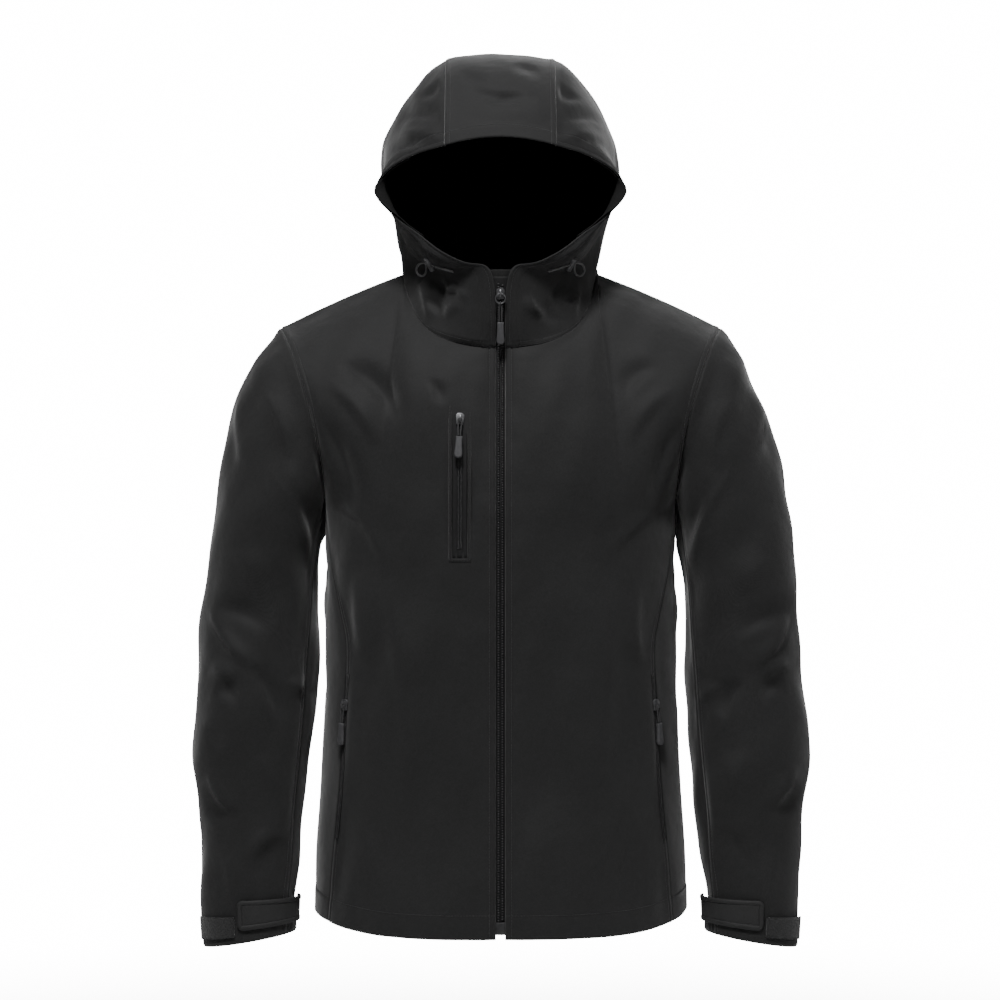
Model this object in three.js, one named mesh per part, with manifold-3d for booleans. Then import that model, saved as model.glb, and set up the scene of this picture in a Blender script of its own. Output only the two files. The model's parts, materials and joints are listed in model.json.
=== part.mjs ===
import * as THREE from 'three';
import { mergeVertices } from 'three/addons/utils/BufferGeometryUtils.js';
import Module from 'manifold-3d';

// Softshell jacket, zipped to the chin, with a three-panel hood and open cuffs, hem and face.
// Millimetres, +Z up. The front faces -Y and +X is the wearer's left.
// The origin is the middle of the neck, at the height where the shoulder seams meet the neck seam.

// Driving sizes
const CLOTH = 1.8;
const SEAM_GAP = 0.3;
const RING_GAP = 0.4;
const FRONT_EDGE_X = 5.5;
const ROUNDNESS = 0.87;
const CHEST_Z = -285;
const UNDERARM_RISE = 42;
const HEM = { side: -695, frontDrop: 17, backDrop: 12 };
const SHOULDER_TIP = new THREE.Vector3(242, 5, -58);
const CREST_CORNER = 0.62;
const SHOULDER_CROWN = 2.5;
const HEM_FULLNESS = 4;
const FACE_BEND = 1.93;
const NAPE_BEND = 3;

// Rows and columns of the panel grids
const LOW_ROWS = 10;
const UP_ROWS = 9;
const FRONT_COLUMNS = 12;
const SIDE_COLUMNS = 6;
const SLEEVE_ROWS = 22;
const HOOD_ROWS = 12;

// Body girth, a row for each height: half width, depth of the front and of the back
const BODY_ROWS = [
  { z: -715, half: 204, front: 127, back: 116 },
  { z: -640, half: 202, front: 127, back: 112 },
  { z: -560, half: 196.5, front: 125, back: 105 },
  { z: -470, half: 193, front: 124, back: 99 },
  { z: -390, half: 192, front: 127, back: 103 },
  { z: -285, half: 192, front: 130, back: 113 },
  { z: -220, half: 194, front: 128, back: 116 },
];

// Princess seam: its angle round the body from the centre front, in degrees
const PRINCESS_ROWS = [
  { z: -715, angle: 64 },
  { z: -600, angle: 60.5 },
  { z: -470, angle: 58 },
  { z: -402, angle: 57 },
  { z: -370, angle: 61 },
  { z: -297, angle: 74 },
  { z: -243, angle: 80 },
];

// Neck seam from the centre front (turn 0) to the centre back (turn 1)
const NECK_ROWS = [
  { turn: 0, x: 0, y: -96, z: -84.5 },
  { turn: 0.12, x: 30, y: -94, z: -83 },
  { turn: 0.25, x: 56, y: -84, z: -76 },
  { turn: 0.37, x: 81, y: -64, z: -61 },
  { turn: 0.47, x: 97, y: -38, z: -34 },
  { turn: 0.56, x: 107, y: -2, z: 1 },
  { turn: 0.7, x: 98, y: 38, z: 9 },
  { turn: 0.83, x: 66, y: 66, z: 12 },
  { turn: 1, x: 0, y: 80, z: 14 },
];

// Turns of the seam's stations: six from the zip to the shoulder seam, six on to the centre back
const NECK_TURNS = [0.022, 0.11, 0.2, 0.29, 0.38, 0.47, 0.56, 0.65, 0.74, 0.82, 0.88, 0.94, 1];
const SHOULDER_STATION = 6;
const HOOD_SEAM_STATION = 10;
const BACK_STATION = 12;
const CREST_STATIONS = HOOD_SEAM_STATION + HOOD_ROWS;

// How the yoke columns leave the chest (rise) and reach the neck and shoulder (land)
const FRONT_YOKE = [
  { column: 0, riseX: 0, riseY: -6, riseZ: 190, landX: 0, landY: 50, landZ: 190 },
  { column: 0.5, riseX: 4, riseY: -30, riseZ: 250, landX: -10, landY: 230, landZ: 150 },
  { column: 0.74, riseX: 10, riseY: -110, riseZ: 230, landX: 30, landY: 270, landZ: 110 },
  { column: 1, riseX: 6, riseY: -230, riseZ: 190, landX: 70, landY: 290, landZ: 90 },
];
const BACK_YOKE = [
  { column: 0, riseX: 0, riseY: 24, riseZ: 290, landX: 0, landY: -110, landZ: 230 },
  { column: 0.5, riseX: 4, riseY: 70, riseZ: 260, landX: -10, landY: -200, landZ: 150 },
  { column: 0.74, riseX: 10, riseY: 130, riseZ: 230, landX: 30, landY: -250, landZ: 110 },
  { column: 1, riseX: 6, riseY: 220, riseZ: 190, landX: 70, landY: -290, landZ: 90 },
];

// Sleeve rings below the armhole: outer and inner edge, middle and half depth of each
const SLEEVE_RINGS = [
  { at: 0.06, outerX: 272, outerZ: -99, innerX: 197.5, innerZ: -320, midY: 1, half: 79 },
  { at: 0.13, outerX: 291, outerZ: -148, innerX: 199, innerZ: -345, midY: 0, half: 77 },
  { at: 0.21, outerX: 307, outerZ: -214, innerX: 200, innerZ: -371, midY: -1, half: 74 },
  { at: 0.29, outerX: 318, outerZ: -272, innerX: 200.5, innerZ: -396, midY: -3, half: 72 },
  { at: 0.38, outerX: 325.5, outerZ: -340, innerX: 202, innerZ: -420, midY: -5, half: 69 },
  { at: 0.48, outerX: 331, outerZ: -400, innerX: 203.5, innerZ: -446, midY: -8, half: 66 },
  { at: 0.58, outerX: 331.5, outerZ: -461, innerX: 205, innerZ: -480, midY: -12, half: 62 },
  { at: 0.69, outerX: 335, outerZ: -526, innerX: 209, innerZ: -534, midY: -17, half: 57 },
  { at: 0.79, outerX: 330.5, outerZ: -580, innerX: 214, innerZ: -583, midY: -22, half: 52 },
  { at: 0.88, outerX: 328, outerZ: -634, innerX: 217, innerZ: -634, midY: -27, half: 46 },
  { at: 0.95, outerX: 326, outerZ: -677, innerX: 221, innerZ: -675, midY: -32, half: 41 },
  { at: 1, outerX: 322, outerZ: -731, innerX: 222.5, innerZ: -714, midY: -38, half: 38 },
];

// Turns of the two sleeve seams round each ring, in degrees from the outer edge by way of the front
const SLEEVE_SEAMS = [
  { at: 0, front: 155, back: 265 },
  { at: 0.2, front: 152, back: 290 },
  { at: 0.5, front: 150, back: 335 },
  { at: 1, front: 146, back: 345 },
];

// Crown of the hood from the brim (along 0) to the back of the neck (along 1)
const CREST_ROWS = [
  { along: 0, y: -106, z: 139, half: 59.5, drop: 9 },
  { along: 0.1, y: -90, z: 176, half: 59.5, drop: 9 },
  { along: 0.2, y: -60, z: 212, half: 59.5, drop: 8 },
  { along: 0.31, y: -18, z: 238, half: 60, drop: 7 },
  { along: 0.42, y: 30, z: 246, half: 60, drop: 6 },
  { along: 0.54, y: 84, z: 233, half: 60, drop: 6 },
  { along: 0.64, y: 124, z: 202, half: 59, drop: 7 },
  { along: 0.74, y: 147, z: 155, half: 56, drop: 8 },
  { along: 0.84, y: 148, z: 104, half: 51, drop: 8 },
  { along: 0.93, y: 124, z: 56, half: 46, drop: 7 },
  { along: 1, y: 80, z: 14, half: 41, drop: 4 },
];

// Front edge of the hood: up beside the zip, then round the face opening to the brim
const FACE_ROWS = [
  { at: 0, x: 5.5, y: -96, z: -84 },
  { at: 0.11, x: 5.5, y: -104, z: -52 },
  { at: 0.184, x: 7, y: -108, z: -20 },
  { at: 0.255, x: 15, y: -109, z: 1 },
  { at: 0.314, x: 38.8, y: -105, z: 6 },
  { at: 0.37, x: 63.5, y: -98, z: 18.4 },
  { at: 0.425, x: 87.3, y: -85, z: 37.3 },
  { at: 0.498, x: 114.9, y: -62, z: 59 },
  { at: 0.58, x: 135.5, y: -46, z: 84 },
  { at: 0.654, x: 129.5, y: -46, z: 102 },
  { at: 0.752, x: 114, y: -62, z: 114 },
  { at: 0.9, x: 87, y: -86, z: 124 },
  { at: 1, x: 59.5, y: -100, z: 130.3 },
];

// How the hood side's columns leave the neck seam and reach the crown seam, front to back
const HOOD_ARCS = [
  { back: 0, riseX: 120, riseY: -60, riseZ: 120, landX: -200, landY: -60, landZ: 60 },
  { back: 0.25, riseX: 70, riseY: 85, riseZ: 120, landX: -178, landY: -24, landZ: 122 },
  { back: 0.5, riseX: 52, riseY: 125, riseZ: 134, landX: -185, landY: -22, landZ: 100 },
  { back: 0.75, riseX: 110, riseY: 150, riseZ: 110, landX: -165, landY: -30, landZ: 110 },
  { back: 1, riseX: 20, riseY: 160, riseZ: 120, landX: 0, landY: -60, landZ: 180 },
];

// How far the arcs are let out sideways, up from the neck seam: drawn in above it, full beside the face
const HOOD_FULLNESS = [
  { up: 0, out: 0 },
  { up: 0.2, out: 5 },
  { up: 0.4, out: 20 },
  { up: 0.6, out: 12 },
  { up: 0.8, out: 0 },
  { up: 1, out: 0 },
];

// Largest folds of each side, as seen from in front: both ends, how far the middle bows aside, half width
// and how far it stands out of the cloth (or into it, below 0)
const SLEEVE_FOLDS = {
  left: [
    { x1: 319, z1: -370, x2: 250, z2: -392, bow: 6, width: 16, rise: -5 },
    { x1: 317, z1: -400, x2: 262, z2: -428, bow: -6, width: 13, rise: 3.4 },
    { x1: 314, z1: -446, x2: 240, z2: -480, bow: 6, width: 16, rise: -5 },
    { x1: 246, z1: -206, x2: 206, z2: -326, bow: 10, width: 15, rise: -4.5 },
    { x1: 317, z1: -530, x2: 284, z2: -590, bow: -6, width: 15, rise: 2.8 },
  ],
  right: [
    { x1: 315, z1: -362, x2: 245, z2: -386, bow: 5, width: 16, rise: -5.4 },
    { x1: 317, z1: -392, x2: 257, z2: -424, bow: -7, width: 13, rise: 3.8 },
    { x1: 308, z1: -452, x2: 240, z2: -474, bow: 5, width: 16, rise: -5.4 },
    { x1: 243, z1: -216, x2: 203, z2: -320, bow: 10, width: 15, rise: -5 },
    { x1: 315, z1: -538, x2: 282, z2: -590, bow: -6, width: 15, rise: 3 },
  ],
  behind: [
    { x1: 320, z1: -345, x2: 232, z2: -384, bow: 8, width: 18, rise: -4.6 },
    { x1: 322, z1: -425, x2: 240, z2: -445, bow: 8, width: 18, rise: -4.2 },
    { x1: 300, z1: -130, x2: 240, z2: -210, bow: 10, width: 18, rise: -4 },
  ],
};
const FRONT_FOLDS = {
  left: [
    { x1: 168, z1: -100, x2: 120, z2: -150, bow: 8, width: 20, rise: -2.8 },
    { x1: 194, z1: -160, x2: 160, z2: -258, bow: 6, width: 18, rise: -2.6 },
    { x1: 112, z1: -320, x2: 92, z2: -600, bow: -8, width: 30, rise: 2.2 },
  ],
  right: [
    { x1: 174, z1: -97, x2: 104, z2: -170, bow: 10, width: 20, rise: -3.8 },
    { x1: 196, z1: -150, x2: 158, z2: -262, bow: 6, width: 18, rise: -3.2 },
    { x1: 120, z1: -330, x2: 96, z2: -600, bow: 8, width: 30, rise: 2.4 },
  ],
};
const BACK_FOLDS = [
  { x1: 150, z1: -110, x2: 60, z2: -190, bow: 12, width: 22, rise: -3.4 },
  { x1: 168, z1: -250, x2: 60, z2: -330, bow: 12, width: 22, rise: -2.6 },
  { x1: 120, z1: -380, x2: 30, z2: -470, bow: 10, width: 24, rise: -2.6 },
];

const CLOTH_BLACK = { color: 0x1f1f20, roughness: 0.85, metalness: 0 };
const CLOTH_DARK = { color: 0x1a1918, roughness: 0.9, metalness: 0 };
const ZIP_BLACK = { color: 0x151515, roughness: 0.6, metalness: 0 };
const SLIDER_GREY = { color: 0x4a4a4c, roughness: 0.4, metalness: 0.8 };
const RUBBER_GREY = { color: 0x3a3a3c, roughness: 0.6, metalness: 0 };

const solids = await Module();
solids.setup();
const jacket = new THREE.Group();
const SIDES = [
  { name: 'left', sign: 1 },
  { name: 'right', sign: -1 },
];

function mix(a, b, share) {
  return a + (b - a) * share;
}

function radians(degrees) {
  return degrees * Math.PI / 180;
}

function smooth(value, low, high) {
  const s = Math.min(Math.max((value - low) / (high - low), 0), 1);
  return s * s * (3 - 2 * s);
}

function hermite(a, b, slopeA, slopeB, t) {
  const t2 = t * t;
  const t3 = t2 * t;
  return a * (2 * t3 - 3 * t2 + 1) + slopeA * (t3 - 2 * t2 + t) + b * (3 * t2 - 2 * t3) + slopeB * (t3 - t2);
}

// A smooth row between the rows of a table, read by one of its columns
function rowAt(table, key, value) {
  const last = table.length - 1;
  const at = Math.min(Math.max(value, table[0][key]), table[last][key]);
  let i = 0;
  while (i < last - 1 && at > table[i + 1][key]) {
    i += 1;
  }
  const a = table[i];
  const b = table[i + 1];
  const before = table[Math.max(i - 1, 0)];
  const after = table[Math.min(i + 2, last)];
  const span = b[key] - a[key];
  const row = {};
  for (const column of Object.keys(a)) {
    const slopeA = (b[column] - before[column]) / (b[key] - before[key]) * span;
    const slopeB = (after[column] - a[column]) / (after[key] - a[key]) * span;
    row[column] = hermite(a[column], b[column], slopeA, slopeB, (at - a[key]) / span);
  }
  return row;
}

// Body surface at an angle from the centre front (0) to the centre back (180)
function bodyPoint(angle, z) {
  const row = rowAt(BODY_ROWS, 'z', z);
  const turn = radians(angle);
  const inFront = angle <= 90;
  const edge = inFront ? FRONT_EDGE_X : 0;
  const x = edge + (row.half - edge) * Math.sin(turn) ** ROUNDNESS;
  const depth = inFront ? -row.front : row.back;
  return new THREE.Vector3(x, depth * Math.abs(Math.cos(turn)) ** ROUNDNESS, z);
}

function hemHeight(angle) {
  const drop = angle <= 90 ? HEM.frontDrop : HEM.backDrop;
  return HEM.side - drop * (1 - Math.sin(radians(angle)) ** HEM_FULLNESS);
}

// A point of the neck seam, by station: 0 at the zip, 6 at the shoulder seam, 12 at the centre back
function neckPoint(station) {
  const low = Math.min(Math.floor(station), BACK_STATION - 1);
  const turn = mix(NECK_TURNS[low], NECK_TURNS[low + 1], station - low);
  const row = rowAt(NECK_ROWS, 'turn', turn);
  return new THREE.Vector3(row.x, row.y, row.z);
}

// Neck seam for the inner columns, then the shoulder seam out to its tip
function yokeTop(column, isFront) {
  const fromMiddle = column * FRONT_COLUMNS;
  if (fromMiddle <= SHOULDER_STATION) {
    return neckPoint(isFront ? fromMiddle : BACK_STATION - fromMiddle);
  }
  const share = (fromMiddle - SHOULDER_STATION) / (FRONT_COLUMNS - SHOULDER_STATION);
  const point = neckPoint(SHOULDER_STATION).lerp(SHOULDER_TIP, share);
  point.z += SHOULDER_CROWN * 4 * share * (1 - share);
  return point;
}

function yokePoint(column, rise, isFront) {
  const chestZ = CHEST_Z + UNDERARM_RISE * column ** 3;
  const seamAngle = rowAt(PRINCESS_ROWS, 'z', chestZ).angle;
  const angle = isFront ? column * seamAngle : 180 - column * seamAngle;
  const low = bodyPoint(angle, chestZ);
  const top = yokeTop(column, isFront);
  const pull = rowAt(isFront ? FRONT_YOKE : BACK_YOKE, 'column', column);
  return new THREE.Vector3(
    hermite(low.x, top.x, pull.riseX, pull.landX, rise),
    hermite(low.y, top.y, pull.riseY, pull.landY, rise),
    hermite(low.z, top.z, pull.riseZ, pull.landZ, rise),
  );
}

const YOKE_START = LOW_ROWS / (LOW_ROWS + UP_ROWS);

// A front or half back: columns from the middle to the princess seam and armhole, rows up from the hem
function mainPanelPoint(column, height, isFront) {
  if (height > YOKE_START) {
    return yokePoint(column, (height - YOKE_START) / (1 - YOKE_START), isFront);
  }
  const topZ = CHEST_Z + UNDERARM_RISE * column ** 3;
  const hemAngle = column * rowAt(PRINCESS_ROWS, 'z', HEM.side).angle;
  const bottomZ = hemHeight(isFront ? hemAngle : 180 - hemAngle);
  const z = mix(bottomZ, topZ, height / YOKE_START);
  const angle = column * rowAt(PRINCESS_ROWS, 'z', z).angle;
  return bodyPoint(isFront ? angle : 180 - angle, z);
}

// The side panel between the two princess seams, its top edge curved under the arm
function sidePanelPoint(across, height) {
  const hemAngle = rowAt(PRINCESS_ROWS, 'z', HEM.side).angle;
  const bottomZ = hemHeight(mix(hemAngle, 180 - hemAngle, across));
  const topZ = CHEST_Z + UNDERARM_RISE * (2 * across - 1) ** 2;
  const z = mix(bottomZ, topZ, height);
  const seamAngle = rowAt(PRINCESS_ROWS, 'z', z).angle;
  return bodyPoint(mix(seamAngle, 180 - seamAngle, across), z);
}

// The armhole, a station for each row of the yoke and each column of the side panel's top
const HALF_SIDE = SIDE_COLUMNS / 2;
const STATIONS = 2 * (UP_ROWS + HALF_SIDE);
function armholePoint(station) {
  const isFront = station <= STATIONS / 2;
  const fromTip = isFront ? station : STATIONS - station;
  if (fromTip <= UP_ROWS) {
    return yokePoint(1, 1 - fromTip / UP_ROWS, isFront);
  }
  const inward = (fromTip - UP_ROWS) / SIDE_COLUMNS;
  return sidePanelPoint(isFront ? inward : 1 - inward, 1);
}

const ARM_OUTWARD = new THREE.Vector3(0.977, 0, 0.211);
const FRONT_SEAM_STATION = UP_ROWS;
const BACK_SEAM_STATION = STATIONS - 5;

// Turn round a sleeve ring of each armhole station, so that both sleeve seams keep their stations
function sleeveTurn(station, at) {
  const seams = rowAt(SLEEVE_SEAMS, 'at', at);
  if (station <= FRONT_SEAM_STATION) {
    const start = seams.back - 360;
    const from = BACK_SEAM_STATION - STATIONS;
    return mix(start, seams.front, (station - from) / (FRONT_SEAM_STATION - from));
  }
  if (station <= BACK_SEAM_STATION) {
    const share = (station - FRONT_SEAM_STATION) / (BACK_SEAM_STATION - FRONT_SEAM_STATION);
    return mix(seams.front, seams.back, share);
  }
  return sleeveTurn(station - STATIONS, at) + 360;
}

function sleeveRingPoint(ring, turn) {
  const midX = (ring.outerX + ring.innerX) / 2;
  const midZ = (ring.outerZ + ring.innerZ) / 2;
  const c = Math.cos(radians(turn));
  const x = midX + (ring.outerX - ring.innerX) / 2 * c;
  const z = midZ + (ring.outerZ - ring.innerZ) / 2 * c;
  return new THREE.Vector3(x, ring.midY - ring.half * Math.sin(radians(turn)), z);
}

// Sleeve surface: a station round the arm, and the share of the way from the armhole to the cuff
function sleevePoint(station, at) {
  const wrapped = ((station % STATIONS) + STATIONS) % STATIONS;
  const whole = Math.floor(wrapped);
  const start = armholePoint(whole).lerp(armholePoint((whole + 1) % STATIONS), wrapped - whole);
  start.addScaledVector(ARM_OUTWARD, RING_GAP);
  const turn = sleeveTurn(wrapped, at);
  const first = SLEEVE_RINGS[0];
  if (at >= first.at) {
    return sleeveRingPoint(rowAt(SLEEVE_RINGS, 'at', at), turn);
  }
  const end = sleeveRingPoint(first, turn);
  const next = sleeveRingPoint(rowAt(SLEEVE_RINGS, 'at', first.at + 0.01), turn);
  const landing = next.sub(end).multiplyScalar(first.at / 0.01);
  const reach = end.clone().sub(start);
  const share = at / first.at;
  return new THREE.Vector3(
    hermite(start.x, end.x, reach.x * 1.3, landing.x, share),
    hermite(start.y, end.y, reach.y, landing.y, share),
    hermite(start.z, end.z, reach.z * 0.6, landing.z, share),
  );
}

// Crown strip, from its left seam (across 1) to its right one, its lower end brought to the neck seam
function crestPoint(across, along) {
  const station = mix(BACK_STATION, HOOD_SEAM_STATION, Math.abs(across));
  const seat = neckPoint(station);
  seat.x *= Math.sign(across) || 1;
  const bend = seat.sub(crestStrip(across, 1)).multiplyScalar(along ** 6);
  return crestStrip(across, along).add(bend);
}

// Straight into the hood from the crown, in the plane of the middle
function crestInward(along) {
  const ahead = rowAt(CREST_ROWS, 'along', Math.min(along + 0.01, 1));
  const behind = rowAt(CREST_ROWS, 'along', Math.max(along - 0.01, 0));
  return new THREE.Vector3(0, ahead.z - behind.z, behind.y - ahead.y).normalize();
}

function crestStrip(across, along) {
  const row = rowAt(CREST_ROWS, 'along', along);
  const edge = new THREE.Vector3(row.half * across, row.y, row.z);
  return edge.addScaledVector(crestInward(along), row.drop * across * across);
}

// The crown seam's stations: the hood side's columns from the brim, then its rows down to the neck
function crestAlong(station) {
  if (station <= HOOD_SEAM_STATION) {
    return CREST_CORNER * station / HOOD_SEAM_STATION;
  }
  return mix(CREST_CORNER, 1, (station - HOOD_SEAM_STATION) / HOOD_ROWS);
}

function faceEdge(up) {
  const row = rowAt(FACE_ROWS, 'at', up);
  return new THREE.Vector3(row.x, row.y, row.z);
}

function hoodArc(back, up) {
  const low = neckPoint(HOOD_SEAM_STATION * back);
  const top = crestPoint(1, back * CREST_CORNER);
  const pull = rowAt(HOOD_ARCS, 'back', back);
  return new THREE.Vector3(
    hermite(low.x, top.x, pull.riseX, pull.landX, up) + rowAt(HOOD_FULLNESS, 'up', up).out * (1 - back ** 2),
    hermite(low.y, top.y, pull.riseY, pull.landY, up),
    hermite(low.z, top.z, pull.riseZ, pull.landZ, up),
  );
}

// Side of the hood, bent at its front to the face edge and at its back to the crown seam
function hoodSidePoint(back, up) {
  const point = hoodArc(back, up);
  const frontShift = faceEdge(up).sub(hoodArc(0, up));
  const backShift = crestPoint(1, mix(1, CREST_CORNER, up)).sub(hoodArc(1, up));
  point.addScaledVector(frontShift, (1 - back) ** FACE_BEND);
  point.addScaledVector(backShift, back ** NAPE_BEND);
  point.z += RING_GAP * (1 - up) ** 6;
  return point;
}

// Height of a set of folds at a place seen from in front, each steeper on its outer flank
function foldHeight(folds, x, z) {
  let height = 0;
  for (const { x1, z1, x2, z2, bow, width, rise } of folds) {
    const long = Math.hypot(x2 - x1, z2 - z1);
    const [runX, runZ] = [(x2 - x1) / long, (z2 - z1) / long];
    const share = ((x - x1) * runX + (z - z1) * runZ) / long;
    const arch = Math.min(Math.max(4 * share * (1 - share), 0), 1);
    const offset = (x - x1) * runZ - (z - z1) * runX - bow * arch;
    height += rise * arch ** 0.8 * Math.exp(-((offset / (offset > 0 ? width : 0.7 * width)) ** 2));
  }
  return height;
}

// One closed wall from a surface: an outer grid, an inner grid a wall's thickness behind it, and its rims.
// inside is a point on the hollow side; rims gives, for each edge, how far it is drawn in from its seam
// and the direction that its thickness keeps clear of. goesOn: the surface runs on past its side edges.
// relief is how far the folds carry both faces out.
function wallGeometry(surface, columns, rows, inside, options = {}) {
  const { wall = () => CLOTH, rims = {}, closed = false, lift = 0, goesOn = false, relief = () => 0 } = options;
  const step = 0.004;
  const normalAt = (u, v) => {
    const right = goesOn ? u + step : Math.min(u + step, 1);
    const left = goesOn ? u - step : Math.max(u - step, 0);
    const du = surface(right, v).sub(surface(left, v));
    const dv = surface(u, Math.min(v + step, 1)).sub(surface(u, Math.max(v - step, 0)));
    return du.cross(dv).normalize();
  };
  const middle = surface(0.5, 0.5);
  const facing = Math.sign(normalAt(0.5, 0.5).dot(middle.sub(inside)));
  const outer = [];
  const inner = [];
  for (let j = 0; j <= rows; j += 1) {
    for (let i = 0; i <= columns; i += 1) {
      const u = i / columns;
      const v = j / rows;
      const point = surface(u, v);
      const normal = normalAt(u, v).multiplyScalar(facing);
      const drawn = point.clone();
      const edges = [
        [i === 0, rims.start, Math.min(u + 0.5 / columns, 1), v],
        [i === columns, rims.end, Math.max(u - 0.5 / columns, 0), v],
        [j === 0, rims.bottom, u, Math.min(v + 0.5 / rows, 1)],
        [j === rows, rims.top, u, Math.max(v - 0.5 / rows, 0)],
      ];
      const inward = normal.clone().negate();
      for (const [onEdge, rim, nearU, nearV] of edges) {
        if (onEdge && rim) {
          const { gap, clearOf, toward } = rim(u, v);
          const away = surface(nearU, nearV).sub(point).normalize();
          drawn.addScaledVector(away, gap);
          inward.copy(toward ?? inward);
          inward.addScaledVector(clearOf, -Math.max(inward.dot(clearOf), 0));
        }
      }
      drawn.addScaledVector(normal, lift + relief(point, normal, u, v));
      outer.push(drawn);
      inner.push(drawn.clone().addScaledVector(inward.normalize(), wall(u, v)));
    }
  }
  const perRow = columns + 1;
  const around = closed ? columns : perRow;
  const id = (layer, i, j) => layer * perRow * (rows + 1) + j * perRow + (closed ? i % around : i);
  const triangles = [];
  const quad = (a, b, c, d) => {
    if (facing > 0) {
      triangles.push(a, b, c, a, c, d);
    } else {
      triangles.push(a, c, b, a, d, c);
    }
  };
  for (let j = 0; j < rows; j += 1) {
    for (let i = 0; i < columns; i += 1) {
      quad(id(0, i, j), id(0, i + 1, j), id(0, i + 1, j + 1), id(0, i, j + 1));
      quad(id(1, i, j), id(1, i, j + 1), id(1, i + 1, j + 1), id(1, i + 1, j));
    }
  }
  for (let i = 0; i < columns; i += 1) {
    quad(id(1, i, 0), id(1, i + 1, 0), id(0, i + 1, 0), id(0, i, 0));
    quad(id(0, i, rows), id(0, i + 1, rows), id(1, i + 1, rows), id(1, i, rows));
  }
  for (let j = 0; j < rows && !closed; j += 1) {
    quad(id(0, 0, j), id(0, 0, j + 1), id(1, 0, j + 1), id(1, 0, j));
    quad(id(1, columns, j), id(1, columns, j + 1), id(0, columns, j + 1), id(0, columns, j));
  }
  const geometry = new THREE.BufferGeometry();
  const positions = [...outer, ...inner].flatMap((point) => [point.x, point.y, point.z]);
  geometry.setAttribute('position', new THREE.Float32BufferAttribute(positions, 3));
  geometry.setIndex(triangles);
  return geometry;
}

// The wearer's right piece is the left one seen in a mirror, with its faces turned back outwards
function mirrored(geometry) {
  const copy = geometry.index ? geometry.toNonIndexed() : geometry.clone();
  const position = copy.getAttribute('position');
  for (let i = 0; i < position.count; i += 3) {
    const second = new THREE.Vector3().fromBufferAttribute(position, i + 1);
    const third = new THREE.Vector3().fromBufferAttribute(position, i + 2);
    position.setXYZ(i, -position.getX(i), position.getY(i), position.getZ(i));
    position.setXYZ(i + 1, -third.x, third.y, third.z);
    position.setXYZ(i + 2, -second.x, second.y, second.z);
  }
  return copy;
}

function addPiece(name, geometry, finish, holder = jacket) {
  const mesh = new THREE.Mesh(geometry, new THREE.MeshStandardMaterial(finish));
  mesh.name = name;
  holder.add(mesh);
  return mesh;
}

// A left and a right piece, made by a function of its side
function addPair(name, make, finish) {
  for (const side of SIDES) {
    const geometry = make(side);
    addPiece(`${name}_${side.name}`, side.sign > 0 ? geometry : mirrored(geometry), finish);
  }
}

const NOWHERE = new THREE.Vector3(0, 0, 0);
const seam = () => ({ gap: SEAM_GAP / 2, clearOf: NOWHERE });
const TO_BACK = new THREE.Vector3(0, 1, 0);
const TO_FRONT = new THREE.Vector3(0, -1, 0);
const UPWARD = new THREE.Vector3(0, 0, 1);

function addBody() {
  const inside = new THREE.Vector3(0, 0, -400);
  const rows = LOW_ROWS + UP_ROWS;
  const onShoulder = SHOULDER_STATION / FRONT_COLUMNS;
  const frontTop = (u) => ({ gap: SEAM_GAP / 2, clearOf: u < onShoulder ? UPWARD : TO_BACK });
  const backTop = (u) => ({ gap: SEAM_GAP / 2, clearOf: Math.abs(2 * u - 1) < onShoulder ? UPWARD : TO_FRONT });
  const armhole = () => ({ gap: SEAM_GAP / 2, clearOf: ARM_OUTWARD });
  addPair('front', (side) => wallGeometry(
    (u, v) => mainPanelPoint(u, v, true), FRONT_COLUMNS, rows, inside,
    {
      rims: { end: armhole, top: frontTop },
      relief: (point, normal, u, v) => {
        const fade = smooth(u, 0.22, 0.4) * smooth(1 - u, 0.05, 0.18) * smooth(1 - v, 0, 0.08) * smooth(v, 0, 0.1);
        return foldHeight(FRONT_FOLDS[side.name], point.x, point.z) * fade;
      },
    },
  ), CLOTH_BLACK);
  addPair('side_panel', () => wallGeometry(
    sidePanelPoint, SIDE_COLUMNS, LOW_ROWS, inside,
    { rims: { start: seam, end: seam } },
  ), CLOTH_BLACK);
  const backPoint = (u, v) => {
    const column = Math.abs(2 * u - 1);
    const point = mainPanelPoint(column, v, false);
    point.x *= u < 0.5 ? -1 : 1;
    return point;
  };
  const back = wallGeometry(
    backPoint, 2 * FRONT_COLUMNS, rows, inside,
    {
      rims: { start: seam, end: seam, top: backTop },
      relief: (point, normal, u, v) => {
        const fade = smooth(Math.min(u, 1 - u), 0, 0.1) * smooth(1 - v, 0, 0.08) * smooth(v, 0, 0.1);
        const [near, far] = [foldHeight(BACK_FOLDS, point.x, point.z), foldHeight(BACK_FOLDS, -point.x, point.z + 14)];
        return (near + 0.8 * far) * fade;
      },
    },
  );
  addPiece('back', back, CLOTH_BLACK);
}

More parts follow.
